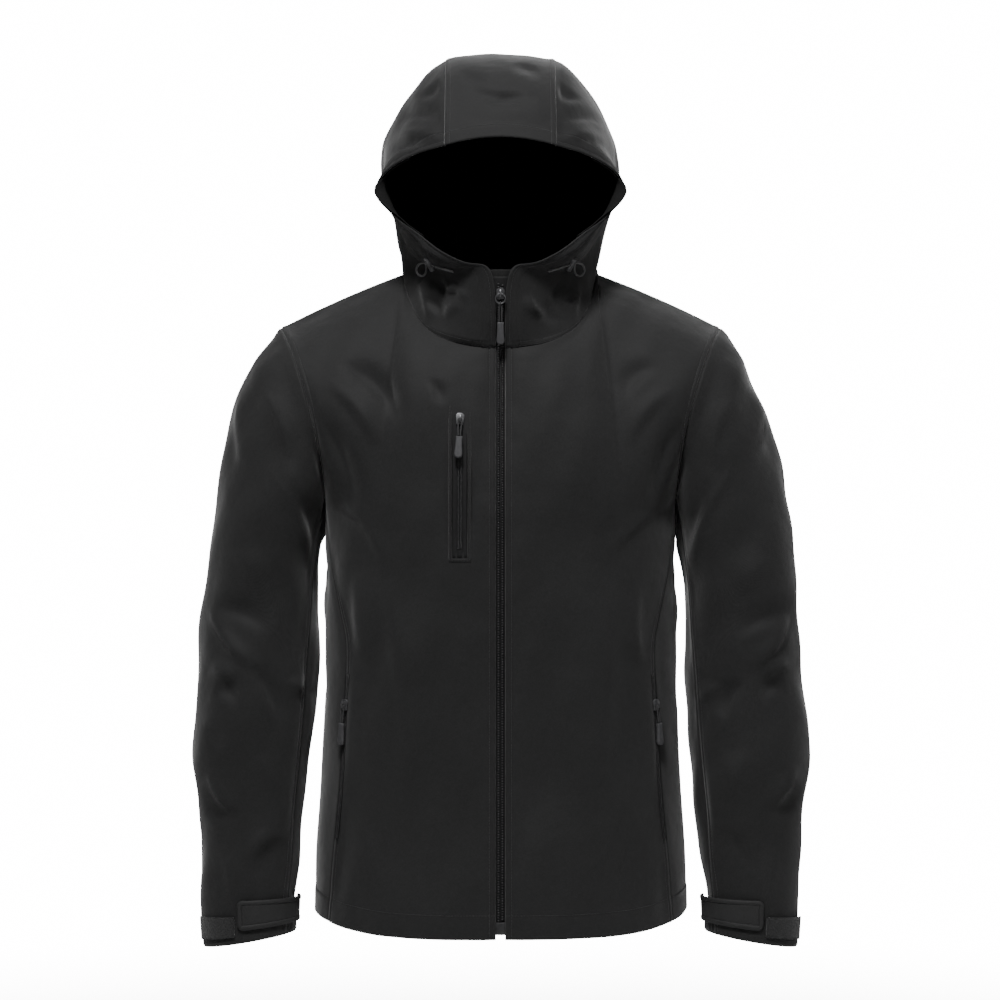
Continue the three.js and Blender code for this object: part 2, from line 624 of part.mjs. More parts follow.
function addSleeves() {
  const inside = sleevePoint(0, 0.5).lerp(sleevePoint(STATIONS / 2, 0.5), 0.5);
  const armhole = () => ({ gap: 0, clearOf: ARM_OUTWARD.clone().negate() });
  const rims = { start: seam, end: seam, bottom: armhole };
  const reliefOf = (side) => (point, normal, u, v) => {
    const fade = smooth(Math.min(u, 1 - u), 0, 0.09) * smooth(v, 0.02, 0.08) * smooth(1 - v, 0.06, 0.12);
    const front = foldHeight(SLEEVE_FOLDS[side.name], point.x, point.z) * smooth(-normal.y, -0.05, 0.45);
    const behind = foldHeight(SLEEVE_FOLDS.behind, point.x, point.z) * smooth(normal.y, -0.05, 0.45);
    return (front + behind) * fade;
  };
  const from = BACK_SEAM_STATION - STATIONS;
  const topStations = FRONT_SEAM_STATION - from;
  addPair('sleeve_top', (side) => wallGeometry(
    (u, v) => sleevePoint(mix(from, FRONT_SEAM_STATION, u), v), topStations, SLEEVE_ROWS, inside,
    { rims, goesOn: true, relief: reliefOf(side) },
  ), CLOTH_BLACK);
  const underStations = BACK_SEAM_STATION - FRONT_SEAM_STATION;
  addPair('sleeve_under', (side) => wallGeometry(
    (u, v) => sleevePoint(mix(FRONT_SEAM_STATION, BACK_SEAM_STATION, u), v), underStations, SLEEVE_ROWS,
    inside, { rims, goesOn: true, relief: reliefOf(side) },
  ), CLOTH_BLACK);
}

function addHood() {
  const inside = new THREE.Vector3(0, 20, 100);
  const neckEdge = () => ({ gap: 0, clearOf: UPWARD.clone().negate() });
  const seamAt = (along) => ({ gap: SEAM_GAP / 2, clearOf: NOWHERE, toward: crestInward(along) });
  const crownSeam = (u) => seamAt(u * CREST_CORNER);
  const backSeam = (u, v) => seamAt(mix(1, CREST_CORNER, v));
  const stripSeam = (u, v) => seamAt(crestAlong(CREST_STATIONS * v));
  addPair('hood_side', () => wallGeometry(
    hoodSidePoint, HOOD_SEAM_STATION, HOOD_ROWS, inside,
    { rims: { end: backSeam, top: crownSeam, bottom: neckEdge } },
  ), CLOTH_BLACK);
  const centre = wallGeometry(
    (u, v) => {
      const along = crestAlong(CREST_STATIONS * v);
      return crestPoint(2 * u - 1, along).add(new THREE.Vector3(0, 0, RING_GAP * along ** 6));
    }, 4, CREST_STATIONS, inside,
    { rims: { start: stripSeam, end: stripSeam, top: neckEdge } },
  );
  addPiece('hood_centre', centre, CLOTH_BLACK);
}

// Facing turned in round the face opening: two columns of the hood side's own grid, inside its wall
const FACING = { thick: 1.2, clear: 0.5, columns: 2, fromRow: 5, toRow: 10 };

function addFacings() {
  const across = FACING.columns / HOOD_SEAM_STATION;
  const [low, high] = [FACING.fromRow / HOOD_ROWS, FACING.toRow / HOOD_ROWS];
  const surface = (u, v) => hoodSidePoint(u * across, mix(low, high, v));
  const options = { wall: () => FACING.thick, lift: -CLOTH - FACING.clear };
  const rows = FACING.toRow - FACING.fromRow;
  addPair('hood_facing', () => (
    wallGeometry(surface, FACING.columns, rows, new THREE.Vector3(0, 20, 100), options)
  ), CLOTH_DARK);
}

// A point of a panel's faceted face, between the corners of its grid
function facetPoint(surface, columns, rows, column, row) {
  const i = Math.min(Math.max(Math.floor(column), 0), columns - 1);
  const j = Math.min(Math.max(Math.floor(row), 0), rows - 1);
  const corner = (a, b) => surface((i + a) / columns, (j + b) / rows);
  const low = corner(0, 0).lerp(corner(1, 0), column - i);
  return low.lerp(corner(0, 1).lerp(corner(1, 1), column - i), row - j);
}

// The column and row of a panel where it has a given x and z, from a guess
function locate(panel, x, z, guess) {
  let [column, row] = guess;
  for (let turn = 0; turn < 20; turn += 1) {
    const here = facetPoint(panel.surface, panel.columns, panel.rows, column, row);
    const aside = facetPoint(panel.surface, panel.columns, panel.rows, column + 0.05, row).sub(here);
    const above = facetPoint(panel.surface, panel.columns, panel.rows, column, row + 0.05).sub(here);
    const area = (aside.x * above.z - aside.z * above.x) / 0.05;
    const stepAside = ((x - here.x) * above.z - (z - here.z) * above.x) / area;
    const stepUp = ((z - here.z) * aside.x - (x - here.x) * aside.z) / area;
    column = Math.min(Math.max(column + Math.min(Math.max(stepAside, -0.6), 0.6), -0.5), panel.columns);
    row = Math.min(Math.max(row + Math.min(Math.max(stepUp, -0.6), 0.6), 0), panel.rows);
  }
  return [column, row];
}

function onPanel(panel, place) {
  return facetPoint(panel.surface, panel.columns, panel.rows, place[0], place[1]);
}

// Where a small hard piece sits on a panel: its point, the way out of the cloth, and up along it
function seatOn(panel, place, sign) {
  const here = onPanel(panel, place);
  const up = onPanel(panel, [place[0], place[1] + 0.2]).sub(here).normalize();
  const aside = onPanel(panel, [place[0] + 0.2, place[1]]).sub(here).normalize();
  const out = up.clone().cross(aside).normalize();
  if (out.y > 0) {
    out.negate();
  }
  for (const vector of [here, up, out]) {
    vector.x *= sign;
  }
  return { here, up, out };
}

function holderAt(seat, lift) {
  const back = seat.out.clone().negate();
  const across = back.clone().cross(seat.up).normalize();
  const holder = new THREE.Group();
  holder.applyMatrix4(new THREE.Matrix4().makeBasis(across, back, across.clone().cross(back)));
  holder.position.copy(seat.here).addScaledVector(seat.out, lift);
  return holder;
}

const FRONT_ROWS_ALL = LOW_ROWS + UP_ROWS;
const FRONT = { surface: (u, v) => mainPanelPoint(u, v, true), columns: FRONT_COLUMNS, rows: FRONT_ROWS_ALL };
const HOOD_SIDE = { surface: hoodSidePoint, columns: HOOD_SEAM_STATION, rows: HOOD_ROWS };

// The closing edge of a front, station by station, from the hem to the top of the collar
function closingEdge(station) {
  if (station <= FRONT_ROWS_ALL) {
    return onPanel(FRONT, [0, station]);
  }
  return onPanel(HOOD_SIDE, [0, station - FRONT_ROWS_ALL]);
}

// A strip down the middle of the front, its outer face a given depth in from the cloth's face
function addCentreStrip(name, half, depth, thickness, from, to, finish) {
  const stations = [];
  for (let station = from; station < to; station = Math.floor(station) + 1) {
    stations.push(station);
  }
  stations.push(to);
  const rows = stations.length - 1;
  const surface = (u, v) => {
    const low = Math.min(Math.floor(v * rows), rows - 1);
    const station = mix(stations[low], stations[low + 1], v * rows - low);
    const point = closingEdge(station);
    const run = closingEdge(Math.min(station + 0.3, to)).sub(closingEdge(Math.max(station - 0.3, from)));
    const out = new THREE.Vector3(0, -run.z, run.y).normalize();
    const x = mix(-half, half, u);
    if (Math.abs(x) > FRONT_EDGE_X) {
      const onBody = station <= FRONT_ROWS_ALL;
      const panel = onBody ? FRONT : HOOD_SIDE;
      const row = onBody ? station : station - FRONT_ROWS_ALL;
      point.y = onPanel(panel, locate(panel, Math.abs(x), point.z, [0.5, row])).y;
    }
    return point.setX(x).addScaledVector(out, -depth);
  };
  const inside = new THREE.Vector3(0, 0, -300);
  addPiece(name, wallGeometry(surface, 2, rows, inside, { wall: () => thickness }), finish);
}

const TAPE = { half: 12.5, depth: CLOTH + 1.35, thick: 0.9 };
const FLAP = { half: 19, depth: CLOTH + 3.05, thick: 1.4 };
const CHAIN = { half: 3.6, depth: -0.4, thick: 2.8 };
const ZIP_BOTTOM_STATION = 0.12;
const ZIP_TOP_STATION = FRONT_ROWS_ALL + 2.32;

function addMainZip() {
  addCentreStrip('storm_flap', FLAP.half, FLAP.depth, FLAP.thick, 0.1, FRONT_ROWS_ALL + 2.9, CLOTH_DARK);
  addCentreStrip('main_zip_tape', TAPE.half, TAPE.depth, TAPE.thick, 0.1, ZIP_TOP_STATION + 0.3, ZIP_BLACK);
  addCentreStrip('main_zip_chain', CHAIN.half, CHAIN.depth, CHAIN.thick, 0.45, ZIP_TOP_STATION, ZIP_BLACK);
  addCentreStrip('main_zip_box', CHAIN.half + 1, CHAIN.depth - 0.4, 2.6, ZIP_BOTTOM_STATION, 0.42, SLIDER_GREY);
}

// Slider: a bell-shaped body with a bridge on it; the pull goes through the bridge from side to side
const SLIDER = { long: 12, topHalf: 4.4, lowHalf: 3.6, thick: 2.2, bridgeHalf: 0.8, bridgeLong: 8, bridgeTall: 5 };
const HINGE = { height: 1.85, hole: 1.4 };
const PULL_CORD = 0.9;
const STRAND_X = SLIDER.bridgeHalf + PULL_CORD + 0.35;
const RING = { middle: 5.3, wire: 0.8 };
const TIP = { topHalf: 3.6, waistHalf: 3.1, lowHalf: 4.4, long: 23.5, thick: 4 };

function solidFrom(geometry) {
  const bare = geometry.clone();
  bare.deleteAttribute('normal');
  bare.deleteAttribute('uv');
  const merged = mergeVertices(bare, 1e-4);
  const vertProperties = new Float32Array(merged.getAttribute('position').array);
  const triVerts = new Uint32Array(merged.getIndex().array);
  return new solids.Manifold(new solids.Mesh({ numProp: 3, vertProperties, triVerts }));
}

function geometryFrom(solid) {
  const mesh = solid.getMesh();
  const geometry = new THREE.BufferGeometry();
  geometry.setAttribute('position', new THREE.BufferAttribute(mesh.vertProperties, 3));
  geometry.setIndex(new THREE.BufferAttribute(mesh.triVerts, 1));
  return geometry;
}

// An outline in x and z, pushed from y = from to y = to
function plateGeometry(shape, from, to) {
  const geometry = new THREE.ExtrudeGeometry(shape, { depth: to - from, bevelEnabled: false, curveSegments: 8 });
  geometry.rotateX(Math.PI / 2);
  geometry.translate(0, to, 0);
  return geometry;
}

function sliderGeometry() {
  const { long, topHalf, lowHalf, thick, bridgeHalf, bridgeLong, bridgeTall } = SLIDER;
  const outline = new THREE.Shape();
  outline.moveTo(-lowHalf, -long / 2);
  outline.lineTo(lowHalf, -long / 2);
  outline.lineTo(topHalf, long * 0.2);
  outline.quadraticCurveTo(topHalf, long / 2, 0, long / 2);
  outline.quadraticCurveTo(-topHalf, long / 2, -topHalf, long * 0.2);
  outline.closePath();
  const body = plateGeometry(outline, 0, thick);
  const side = new THREE.Shape();
  side.moveTo(0.3, -bridgeLong / 2);
  side.lineTo(-bridgeTall * 0.6, -bridgeLong / 2);
  side.quadraticCurveTo(-bridgeTall, 0, -bridgeTall * 0.6, bridgeLong / 2);
  side.lineTo(0.3, bridgeLong / 2);
  side.closePath();
  const hole = new THREE.Path();
  hole.absarc(-HINGE.height, 0, HINGE.hole, 0, 2 * Math.PI, false);
  side.holes.push(hole);
  const bridge = new THREE.ExtrudeGeometry(side, { depth: 2 * bridgeHalf, bevelEnabled: false, curveSegments: 6 });
  bridge.translate(0, 0, -bridgeHalf);
  bridge.applyMatrix4(new THREE.Matrix4().makeBasis(
    new THREE.Vector3(0, 1, 0), new THREE.Vector3(0, 0, 1), new THREE.Vector3(1, 0, 0),
  ));
  return geometryFrom(solidFrom(body).add(solidFrom(bridge)));
}

function cordGeometry(points, radius, steps, sides) {
  const section = new THREE.Shape();
  for (let i = 0; i < sides; i += 1) {
    const turn = 2 * Math.PI * (i + 0.5) / sides;
    const method = i === 0 ? 'moveTo' : 'lineTo';
    section[method](radius * Math.cos(turn), radius * Math.sin(turn));
  }
  section.closePath();
  const path = new THREE.CatmullRomCurve3(points.map((point) => new THREE.Vector3(...point)), false, 'centripetal');
  return new THREE.ExtrudeGeometry(section, { steps, extrudePath: path, bevelEnabled: false });
}

function tipGeometry() {
  const { topHalf, waistHalf, lowHalf, long, thick } = TIP;
  const outline = new THREE.Shape();
  outline.moveTo(-topHalf, 0);
  outline.quadraticCurveTo(-waistHalf, -long * 0.35, -lowHalf, -long * 0.8);
  outline.quadraticCurveTo(-lowHalf, -long, 0, -long);
  outline.quadraticCurveTo(lowHalf, -long, lowHalf, -long * 0.8);
  outline.quadraticCurveTo(waistHalf, -long * 0.35, topHalf, 0);
  outline.closePath();
  const bevel = 0.9;
  const geometry = new THREE.ExtrudeGeometry(outline, {
    depth: thick - 2 * bevel, bevelThickness: bevel, bevelSize: bevel, bevelOffset: -bevel,
    bevelSegments: 1, curveSegments: 5,
  });
  geometry.rotateX(Math.PI / 2);
  geometry.translate(0, thick / 2 - bevel, 0);
  return geometry;
}

// A pull hangs from the hinge (its own origin): a cord through the bridge, or a ring with a cord on it
function addPull(name, holder, cordLong, hasRing) {
  const hinge = new THREE.Group();
  hinge.position.set(0, -HINGE.height, 0);
  holder.add(hinge);
  const r = PULL_CORD;
  let tipTop = -cordLong;
  if (hasRing) {
    const wire = [];
    for (let i = 0; i <= 8; i += 1) {
      const turn = 2 * Math.PI * i / 8;
      wire.push(new THREE.Vector2(RING.middle + RING.wire * Math.cos(turn), RING.wire * Math.sin(turn)));
    }
    const ring = new THREE.LatheGeometry(wire, 18);
    ring.translate(0, 0, -RING.middle);
    addPiece(`${name}_pull_ring`, ring, SLIDER_GREY, hinge);
    const low = -2 * RING.middle;
    const round = RING.wire + r + 0.35;
    tipTop = low - cordLong;
    const strand = [
      [-1.3, -round, tipTop + 0.4], [-1.3, -round, low - 6], [-0.7, -round, low - 1], [0, -0.7 * round, low + 1.4],
      [0, 0, low + round], [0, 0.7 * round, low + 1.4], [0.7, round, low - 1], [1.3, 0.5 * r, low - 6],
      [1.3, 0, tipTop + 0.4],
    ];
    strand[0][1] = 0;
    strand[1][1] = -0.5 * r;
    addPiece(`${name}_pull_cord`, cordGeometry(strand, r, 20, 6), ZIP_BLACK, hinge);
  } else {
    const strand = [
      [-1.1, 0, tipTop + 0.4], [-1.6, 0, tipTop * 0.5], [-STRAND_X, 0, -1.6], [-STRAND_X + 0.5, 0, -0.35],
      [-STRAND_X + 1.2, 0, 0], [STRAND_X - 1.2, 0, 0], [STRAND_X - 0.5, 0, -0.35], [STRAND_X, 0, -1.6],
      [1.6, 0, tipTop * 0.5], [1.1, 0, tipTop + 0.4],
    ];
    addPiece(`${name}_pull_cord`, cordGeometry(strand, r, 20, 6), ZIP_BLACK, hinge);
  }
  const tip = tipGeometry();
  tip.translate(0, 0, tipTop);
  addPiece(`${name}_pull_tip`, tip, RUBBER_GREY, hinge);
}

const ON_CHAIN = 0.75;

function addMainSlider() {
  const here = closingEdge(ZIP_TOP_STATION - 0.35).setX(0);
  const up = closingEdge(ZIP_TOP_STATION).setX(0).sub(here).normalize();
  const out = new THREE.Vector3(0, -up.z, up.y).normalize();
  const holder = holderAt({ here, up, out }, ON_CHAIN + SLIDER.thick);
  jacket.add(holder);
  addPiece('main_zip_slider', sliderGeometry(), SLIDER_GREY, holder);
  addPull('main', holder, 20, true);
}

// Chest pocket on the wearer's right: a stitched welt round a short zip
const CHEST_POCKET = { x: 43, topZ: -131, bottomZ: -313, welt: 12, opening: 8.5, zip: 6, weltLift: 0.9, thick: 1.2 };
const CHEST_SLIDER_Z = -162;

function addChestPocket() {
  const { x, topZ, bottomZ, welt, opening, zip, weltLift, thick } = CHEST_POCKET;
  const guess = [1.5, 12];
  const down = 14;
  const frame = [];
  const corners = [[-1, topZ, -1, bottomZ], [-1, bottomZ, 1, bottomZ], [1, bottomZ, 1, topZ], [1, topZ, -1, topZ]];
  for (const [fromX, fromZ, toX, toZ] of corners) {
    const steps = fromX === toX ? down : 2;
    for (let i = 0; i < steps; i += 1) {
      frame.push([mix(fromX, toX, i / steps), mix(fromZ, toZ, i / steps)]);
    }
  }
  const centreZ = (topZ + bottomZ) / 2;
  const shrink = (topZ - bottomZ) / 2;
  const weltPoint = (u, v) => {
    const index = Math.round(u * frame.length) % frame.length;
    const half = mix(welt, opening, v);
    const zHalf = shrink - (welt - half);
    const z = centreZ + (frame[index][1] - centreZ) / shrink * zHalf;
    const point = onPanel(FRONT, locate(FRONT, x + frame[index][0] * half, z, guess));
    return point.add(new THREE.Vector3(0, -weltLift, 0));
  };
  const faceOut = new THREE.Vector3(0, 1, 0);
  addPiece('chest_welt', mirrored(ringGeometry(weltPoint, frame.length, faceOut, -thick)), CLOTH_BLACK);
  const zipTop = topZ - (welt - opening) - 1;
  const zipLow = bottomZ + (welt - opening) + 1;
  const zipPoint = (u, v) => {
    const place = locate(FRONT, x + mix(-zip, zip, u), mix(zipLow, zipTop, v), guess);
    return onPanel(FRONT, place).add(new THREE.Vector3(0, -weltLift - 0.6, 0));
  };
  const strip = wallGeometry(zipPoint, 2, down, new THREE.Vector3(0, 0, -250), { wall: () => 1 });
  addPiece('chest_zip', mirrored(strip), ZIP_BLACK);
  const seat = seatOn(FRONT, locate(FRONT, x, CHEST_SLIDER_Z, guess), -1);
  const holder = holderAt(seat, weltLift + 0.6 + 0.5 + SLIDER.thick);
  jacket.add(holder);
  addPiece('chest_slider', sliderGeometry(), SLIDER_GREY, holder);
  addPull('chest', holder, 20, false);
}

// A flat frame with a hole: a closed loop of stations, two edges, pushed back by a depth along one direction
function ringGeometry(surface, stations, direction, depth) {
  const points = [];
  for (const [v, push] of [[0, 0], [1, 0], [1, depth], [0, depth]]) {
    for (let i = 0; i < stations; i += 1) {
      points.push(surface(i / stations, v).addScaledVector(direction, push));
    }
  }
  const triangles = [];
  for (let layer = 0; layer < 4; layer += 1) {
    for (let i = 0; i < stations; i += 1) {
      const next = (i + 1) % stations;
      const [a, b] = [layer * stations + i, layer * stations + next];
      const [c, d] = [((layer + 1) % 4) * stations + next, ((layer + 1) % 4) * stations + i];
      triangles.push(a, c, b, a, d, c);
    }
  }
  const geometry = new THREE.BufferGeometry();
  geometry.setAttribute('position', new THREE.Float32BufferAttribute(points.flatMap((p) => [p.x, p.y, p.z]), 3));
  geometry.setIndex(triangles);
  return geometry;
}

// Hip pocket zips lie on the fronts along the princess seams
const HIP_ZIP = { inner: 11.42, outer: 11.9, low: 2, high: 5.9, sliderRow: 5.15 };

function addHipPockets() {
  const rows = [HIP_ZIP.low, 3, 4, 5, HIP_ZIP.high];
  const strip = (u, v) => {
    const j = Math.min(Math.floor(v * 4), 3);
    const row = mix(rows[j], rows[j + 1], v * 4 - j);
    return onPanel(FRONT, [mix(HIP_ZIP.inner, HIP_ZIP.outer, u), row]);
  };
  const geometry = wallGeometry(strip, 1, 4, new THREE.Vector3(0, 0, -550), { wall: () => 1, lift: 1.5 });
  addPair('hip_zip', () => geometry, ZIP_BLACK);
  for (const side of SIDES) {
    const middle = (HIP_ZIP.inner + HIP_ZIP.outer) / 2;
    const seat = seatOn(FRONT, [middle, HIP_ZIP.sliderRow], side.sign);
    const holder = holderAt(seat, 1.9 + SLIDER.thick);
    jacket.add(holder);
    addPiece(`hip_slider_${side.name}`, sliderGeometry(), SLIDER_GREY, holder);
    addPull(`hip_${side.name}`, holder, 20, false);
  }
}

// Cuff tab and the loop patch that it closes on, both on the cuff's faces
const CUFF_TAB = { stations: [3.3, 4, 5, 6, 7, 8, 9, 10, 11, 11.7], low: 0.986, high: 0.954, thick: 1.5, lift: 2 };
const CUFF_PATCH = { stations: [-2.7, -2, -1, 0, 1, 2, 2.9], low: 0.993, high: 0.972, thick: 1, lift: 1.45 };

function cuffPoint(station, at) {
  const low = Math.floor(station);
  const row = at * SLEEVE_ROWS;
  const below = Math.min(Math.floor(row), SLEEVE_ROWS - 1);
  const edge = (j) => {
    return sleevePoint(low, j / SLEEVE_ROWS).lerp(sleevePoint(low + 1, j / SLEEVE_ROWS), station - low);
  };
  return edge(below).lerp(edge(below + 1), row - below);
}

function addCuffs() {
  const inside = sleevePoint(0, 0.97).lerp(sleevePoint(STATIONS / 2, 0.97), 0.5);
  for (const [name, strap, finish] of [['cuff_tab', CUFF_TAB, CLOTH_BLACK], ['cuff_patch', CUFF_PATCH, CLOTH_DARK]]) {
    const columns = strap.stations.length - 1;
    const surface = (u, v) => {
      const i = Math.min(Math.floor(u * columns), columns - 1);
      const station = mix(strap.stations[i], strap.stations[i + 1], u * columns - i);
      return cuffPoint(station, mix(strap.low, strap.high, v));
    };
    const geometry = wallGeometry(surface, columns, 1, inside, { wall: () => strap.thick, lift: strap.lift });
    addPair(name, () => geometry, finish);
  }
}

// Drawcord at each side of the collar: out of its eyelet, through the cord lock, round in a loop and back
// up to where it is caught in the channel's seam
const DRAWCORD = 1.1;
const DRAWCORD_POINTS = [
  [51.8, -87.8, -3], [53, -90.4, -2.8], [56.5, -91, -2], [62, -87, 0], [68, -82.8, 2.4], [73.5, -78.4, 4.6],
  [79, -72.5, 6.8], [84.5, -63.5, 8], [89, -56, 6.2], [91, -49.5, 1], [88.5, -50.5, -4], [83.5, -53.5, -5],
  [80.4, -56.2, -1], [80.2, -58, 5], [81.6, -63, 11], [82.6, -72.6, 16], [83, -78.5, 21],
];
const LOCK = { x: 76, z: 5.7, long: 17, radius: 3.1, bore: 1.75 };
const EYELET = { x: 51.4, z: -3, outer: 2.9, hole: 1.5, thick: 0.8 };

function addDrawcords() {
  const guess = [3, 3.4];
  addPair('drawcord', () => cordGeometry(DRAWCORD_POINTS, DRAWCORD, 40, 8), ZIP_BLACK);
  const into = new THREE.Vector3(...DRAWCORD_POINTS[5]);
  const out = new THREE.Vector3(...DRAWCORD_POINTS[6]);
  const along = out.clone().sub(into).normalize();
  const seat = seatOn(HOOD_SIDE, locate(HOOD_SIDE, LOCK.x, LOCK.z, guess), 1);
  const axis = along.clone().cross(seat.out).normalize();
  const barrel = new THREE.CylinderGeometry(LOCK.radius, LOCK.radius, LOCK.long, 12);
  barrel.applyQuaternion(new THREE.Quaternion().setFromUnitVectors(new THREE.Vector3(0, 1, 0), axis));
  const bore = new THREE.CylinderGeometry(LOCK.bore, LOCK.bore, 4 * LOCK.radius, 10);
  bore.applyQuaternion(new THREE.Quaternion().setFromUnitVectors(new THREE.Vector3(0, 1, 0), along));
  const lock = geometryFrom(solidFrom(barrel).subtract(solidFrom(bore)));
  const centre = into.lerp(out, 0.5);
  lock.translate(centre.x, centre.y, centre.z);
  addPair('cord_lock', () => lock, RUBBER_GREY);
  const eyeletSeat = seatOn(HOOD_SIDE, locate(HOOD_SIDE, EYELET.x, EYELET.z, guess), 1);
  const ring = [[EYELET.hole, 0], [EYELET.outer, 0], [EYELET.outer, EYELET.thick], [EYELET.hole, EYELET.thick]];
  const washer = new THREE.LatheGeometry([...ring, ring[0]].map(([x, y]) => new THREE.Vector2(x, y)), 16);
  washer.applyQuaternion(new THREE.Quaternion().setFromUnitVectors(new THREE.Vector3(0, 1, 0), eyeletSeat.out));
  const at = eyeletSeat.here.addScaledVector(eyeletSeat.out, 0.8);
  washer.translate(at.x, at.y, at.z);
  addPair('eyelet', () => washer, SLIDER_GREY);
}

addBody();
addSleeves();
addHood();
addFacings();
addMainZip();
addMainSlider();
addChestPocket();
addHipPockets();
addCuffs();
addDrawcords();

export default jacket;
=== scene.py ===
import json
import math

import bmesh
import bpy
import numpy as np
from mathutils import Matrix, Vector

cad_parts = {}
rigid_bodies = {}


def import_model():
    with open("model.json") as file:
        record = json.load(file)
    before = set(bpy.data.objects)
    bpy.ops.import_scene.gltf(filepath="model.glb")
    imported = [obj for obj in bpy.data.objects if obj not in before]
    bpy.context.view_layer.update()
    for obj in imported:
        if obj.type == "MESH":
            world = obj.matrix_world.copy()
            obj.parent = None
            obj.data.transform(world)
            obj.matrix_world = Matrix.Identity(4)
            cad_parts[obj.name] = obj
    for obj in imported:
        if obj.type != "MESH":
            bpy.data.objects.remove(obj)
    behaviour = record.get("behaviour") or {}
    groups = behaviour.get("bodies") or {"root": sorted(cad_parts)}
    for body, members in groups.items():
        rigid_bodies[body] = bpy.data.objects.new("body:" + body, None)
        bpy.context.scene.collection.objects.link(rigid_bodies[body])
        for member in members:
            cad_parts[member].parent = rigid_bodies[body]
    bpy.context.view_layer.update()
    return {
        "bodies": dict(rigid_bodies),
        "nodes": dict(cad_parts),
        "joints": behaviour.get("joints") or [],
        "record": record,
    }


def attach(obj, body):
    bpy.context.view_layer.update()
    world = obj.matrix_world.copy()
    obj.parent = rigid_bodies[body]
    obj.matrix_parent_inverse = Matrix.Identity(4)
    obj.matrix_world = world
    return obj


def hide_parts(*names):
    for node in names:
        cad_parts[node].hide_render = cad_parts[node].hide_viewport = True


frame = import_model()

# Camera. It stands level with the chest, 3.2 m in front of the jacket, with a lens that shows
# 1.1 m across the middle of the body.
CAMERA_AWAY = 3.2
CAMERA_HEIGHT = -0.2475
VIEW_ACROSS = 1.1
SENSOR = 36.0
camera_data = bpy.data.cameras.new("camera")
camera_data.sensor_width = SENSOR
camera_data.lens = SENSOR * CAMERA_AWAY / VIEW_ACROSS
camera_data.clip_end = 60
camera = bpy.data.objects.new("camera", camera_data)
camera.location = (-0.0005, -CAMERA_AWAY, CAMERA_HEIGHT)
camera.rotation_euler = (math.radians(90), 0, 0)
bpy.context.collection.objects.link(camera)
bpy.context.scene.camera = camera

# Drawcords. At each side of the collar a 2.2 mm braided polyester cord comes out of its eyelet, runs
# through the cord lock, turns round in a loop and is caught again in the channel's seam.
MM = 0.001
DRAWCORD_THICK = 2.2
DRAWCORD_POINTS = [
    (51.8, -87.8, -3), (53, -90.4, -2.8), (56.5, -91, -2), (62, -87, 0), (68, -82.8, 2.4), (73.5, -78.4, 4.6),
    (79, -72.5, 6.8), (84.5, -63.5, 8), (89, -56, 6.2), (91, -49.5, 1), (88.5, -50.5, -4), (83.5, -53.5, -5),
    (80.4, -56.2, -1), (80.2, -58, 5), (81.6, -63, 11), (82.6, -72.6, 16), (83, -78.5, 21),
]


def add(tree, kind, inputs=None, **settings):
    """One shader node with its settings, each input linked or set."""
    node = tree.nodes.new(kind if kind.startswith("NodeGroup") else "ShaderNode" + kind)
    for key, value in settings.items():
        setattr(node, key, value)
    for key, value in (inputs or {}).items():
        if isinstance(value, bpy.types.NodeSocket):
            tree.links.new(value, node.inputs[key])
        else:
            node.inputs[key].default_value = value
    return node


def effect(name, takes):
    """A shader node group: its tree, its named inputs, and the node that its outputs are linked to."""
    tree = bpy.data.node_groups.new(name, "ShaderNodeTree")
    for socket, value in takes.items():
        kind = {4: "NodeSocketColor", 3: "NodeSocketVector"}.get(len(value) if hasattr(value, "__len__") else 1)
        made = tree.interface.new_socket(socket, in_out="INPUT", socket_type=kind or "NodeSocketFloat")
        made.default_value = value
    for socket in ("Color", "Roughness", "Height"):
        kind = "NodeSocketColor" if socket == "Color" else "NodeSocketFloat"
        tree.interface.new_socket(socket, in_out="OUTPUT", socket_type=kind)
    return tree, add(tree, "NodeGroupInput").outputs, add(tree, "NodeGroupOutput").inputs


def sums(tree, operation, a, b, c=0.0):
    """A Math node's value."""
    return add(tree, "Math", {0: a, 1: b, 2: c}, operation=operation).outputs[0]


def on_object(tree):
    """The place on the object, in metres."""
    return add(tree, "TexCoord").outputs["Object"]


def noise(tree, scale, detail=2.0):
    """Even noise over the object."""
    return add(tree, "TexNoise", {"Vector": on_object(tree), "Scale": scale, "Detail": detail}).outputs[0]


def give_out(tree, takes, out, tone, rough, height):
    """Link the group's outputs: a colour from Dark to Light by the tone, the roughness and the height."""
    colour = add(tree, "Mix", {0: tone, 6: takes["Dark"], 7: takes["Light"]}, data_type="RGBA").outputs[2]
    tree.links.new(colour, out["Color"])
    tree.links.new(rough, out["Roughness"])
    tree.links.new(height, out["Height"])
    return tree


def finish(name, group, values, relief, place=None, **shader):
    """A material: a group's colour, roughness and height on a Principled shader with its own numbers."""
    made = bpy.data.materials.new(name)
    made.use_nodes = True
    tree = made.node_tree
    bsdf = tree.nodes["Principled BSDF"]
    effects = add(tree, "Group", node_tree=group)
    for key, value in values.items():
        effects.inputs[key].default_value = value
    if place:
        spot = add(tree, "UVMap", uv_map="cloth").outputs[0] if place == "cloth" else on_object(tree)
        tree.links.new(spot, effects.inputs["Place"])
    tree.links.new(effects.outputs["Color"], bsdf.inputs["Base Color"])
    tree.links.new(effects.outputs["Roughness"], bsdf.inputs["Roughness"])
    bump = add(tree, "Bump", {"Height": effects.outputs["Height"], "Distance": relief})
    tree.links.new(bump.outputs["Normal"], bsdf.inputs["Normal"])
    for key, value in shader.items():
        bsdf.inputs[key.replace("_", " ")].default_value = value
    return made


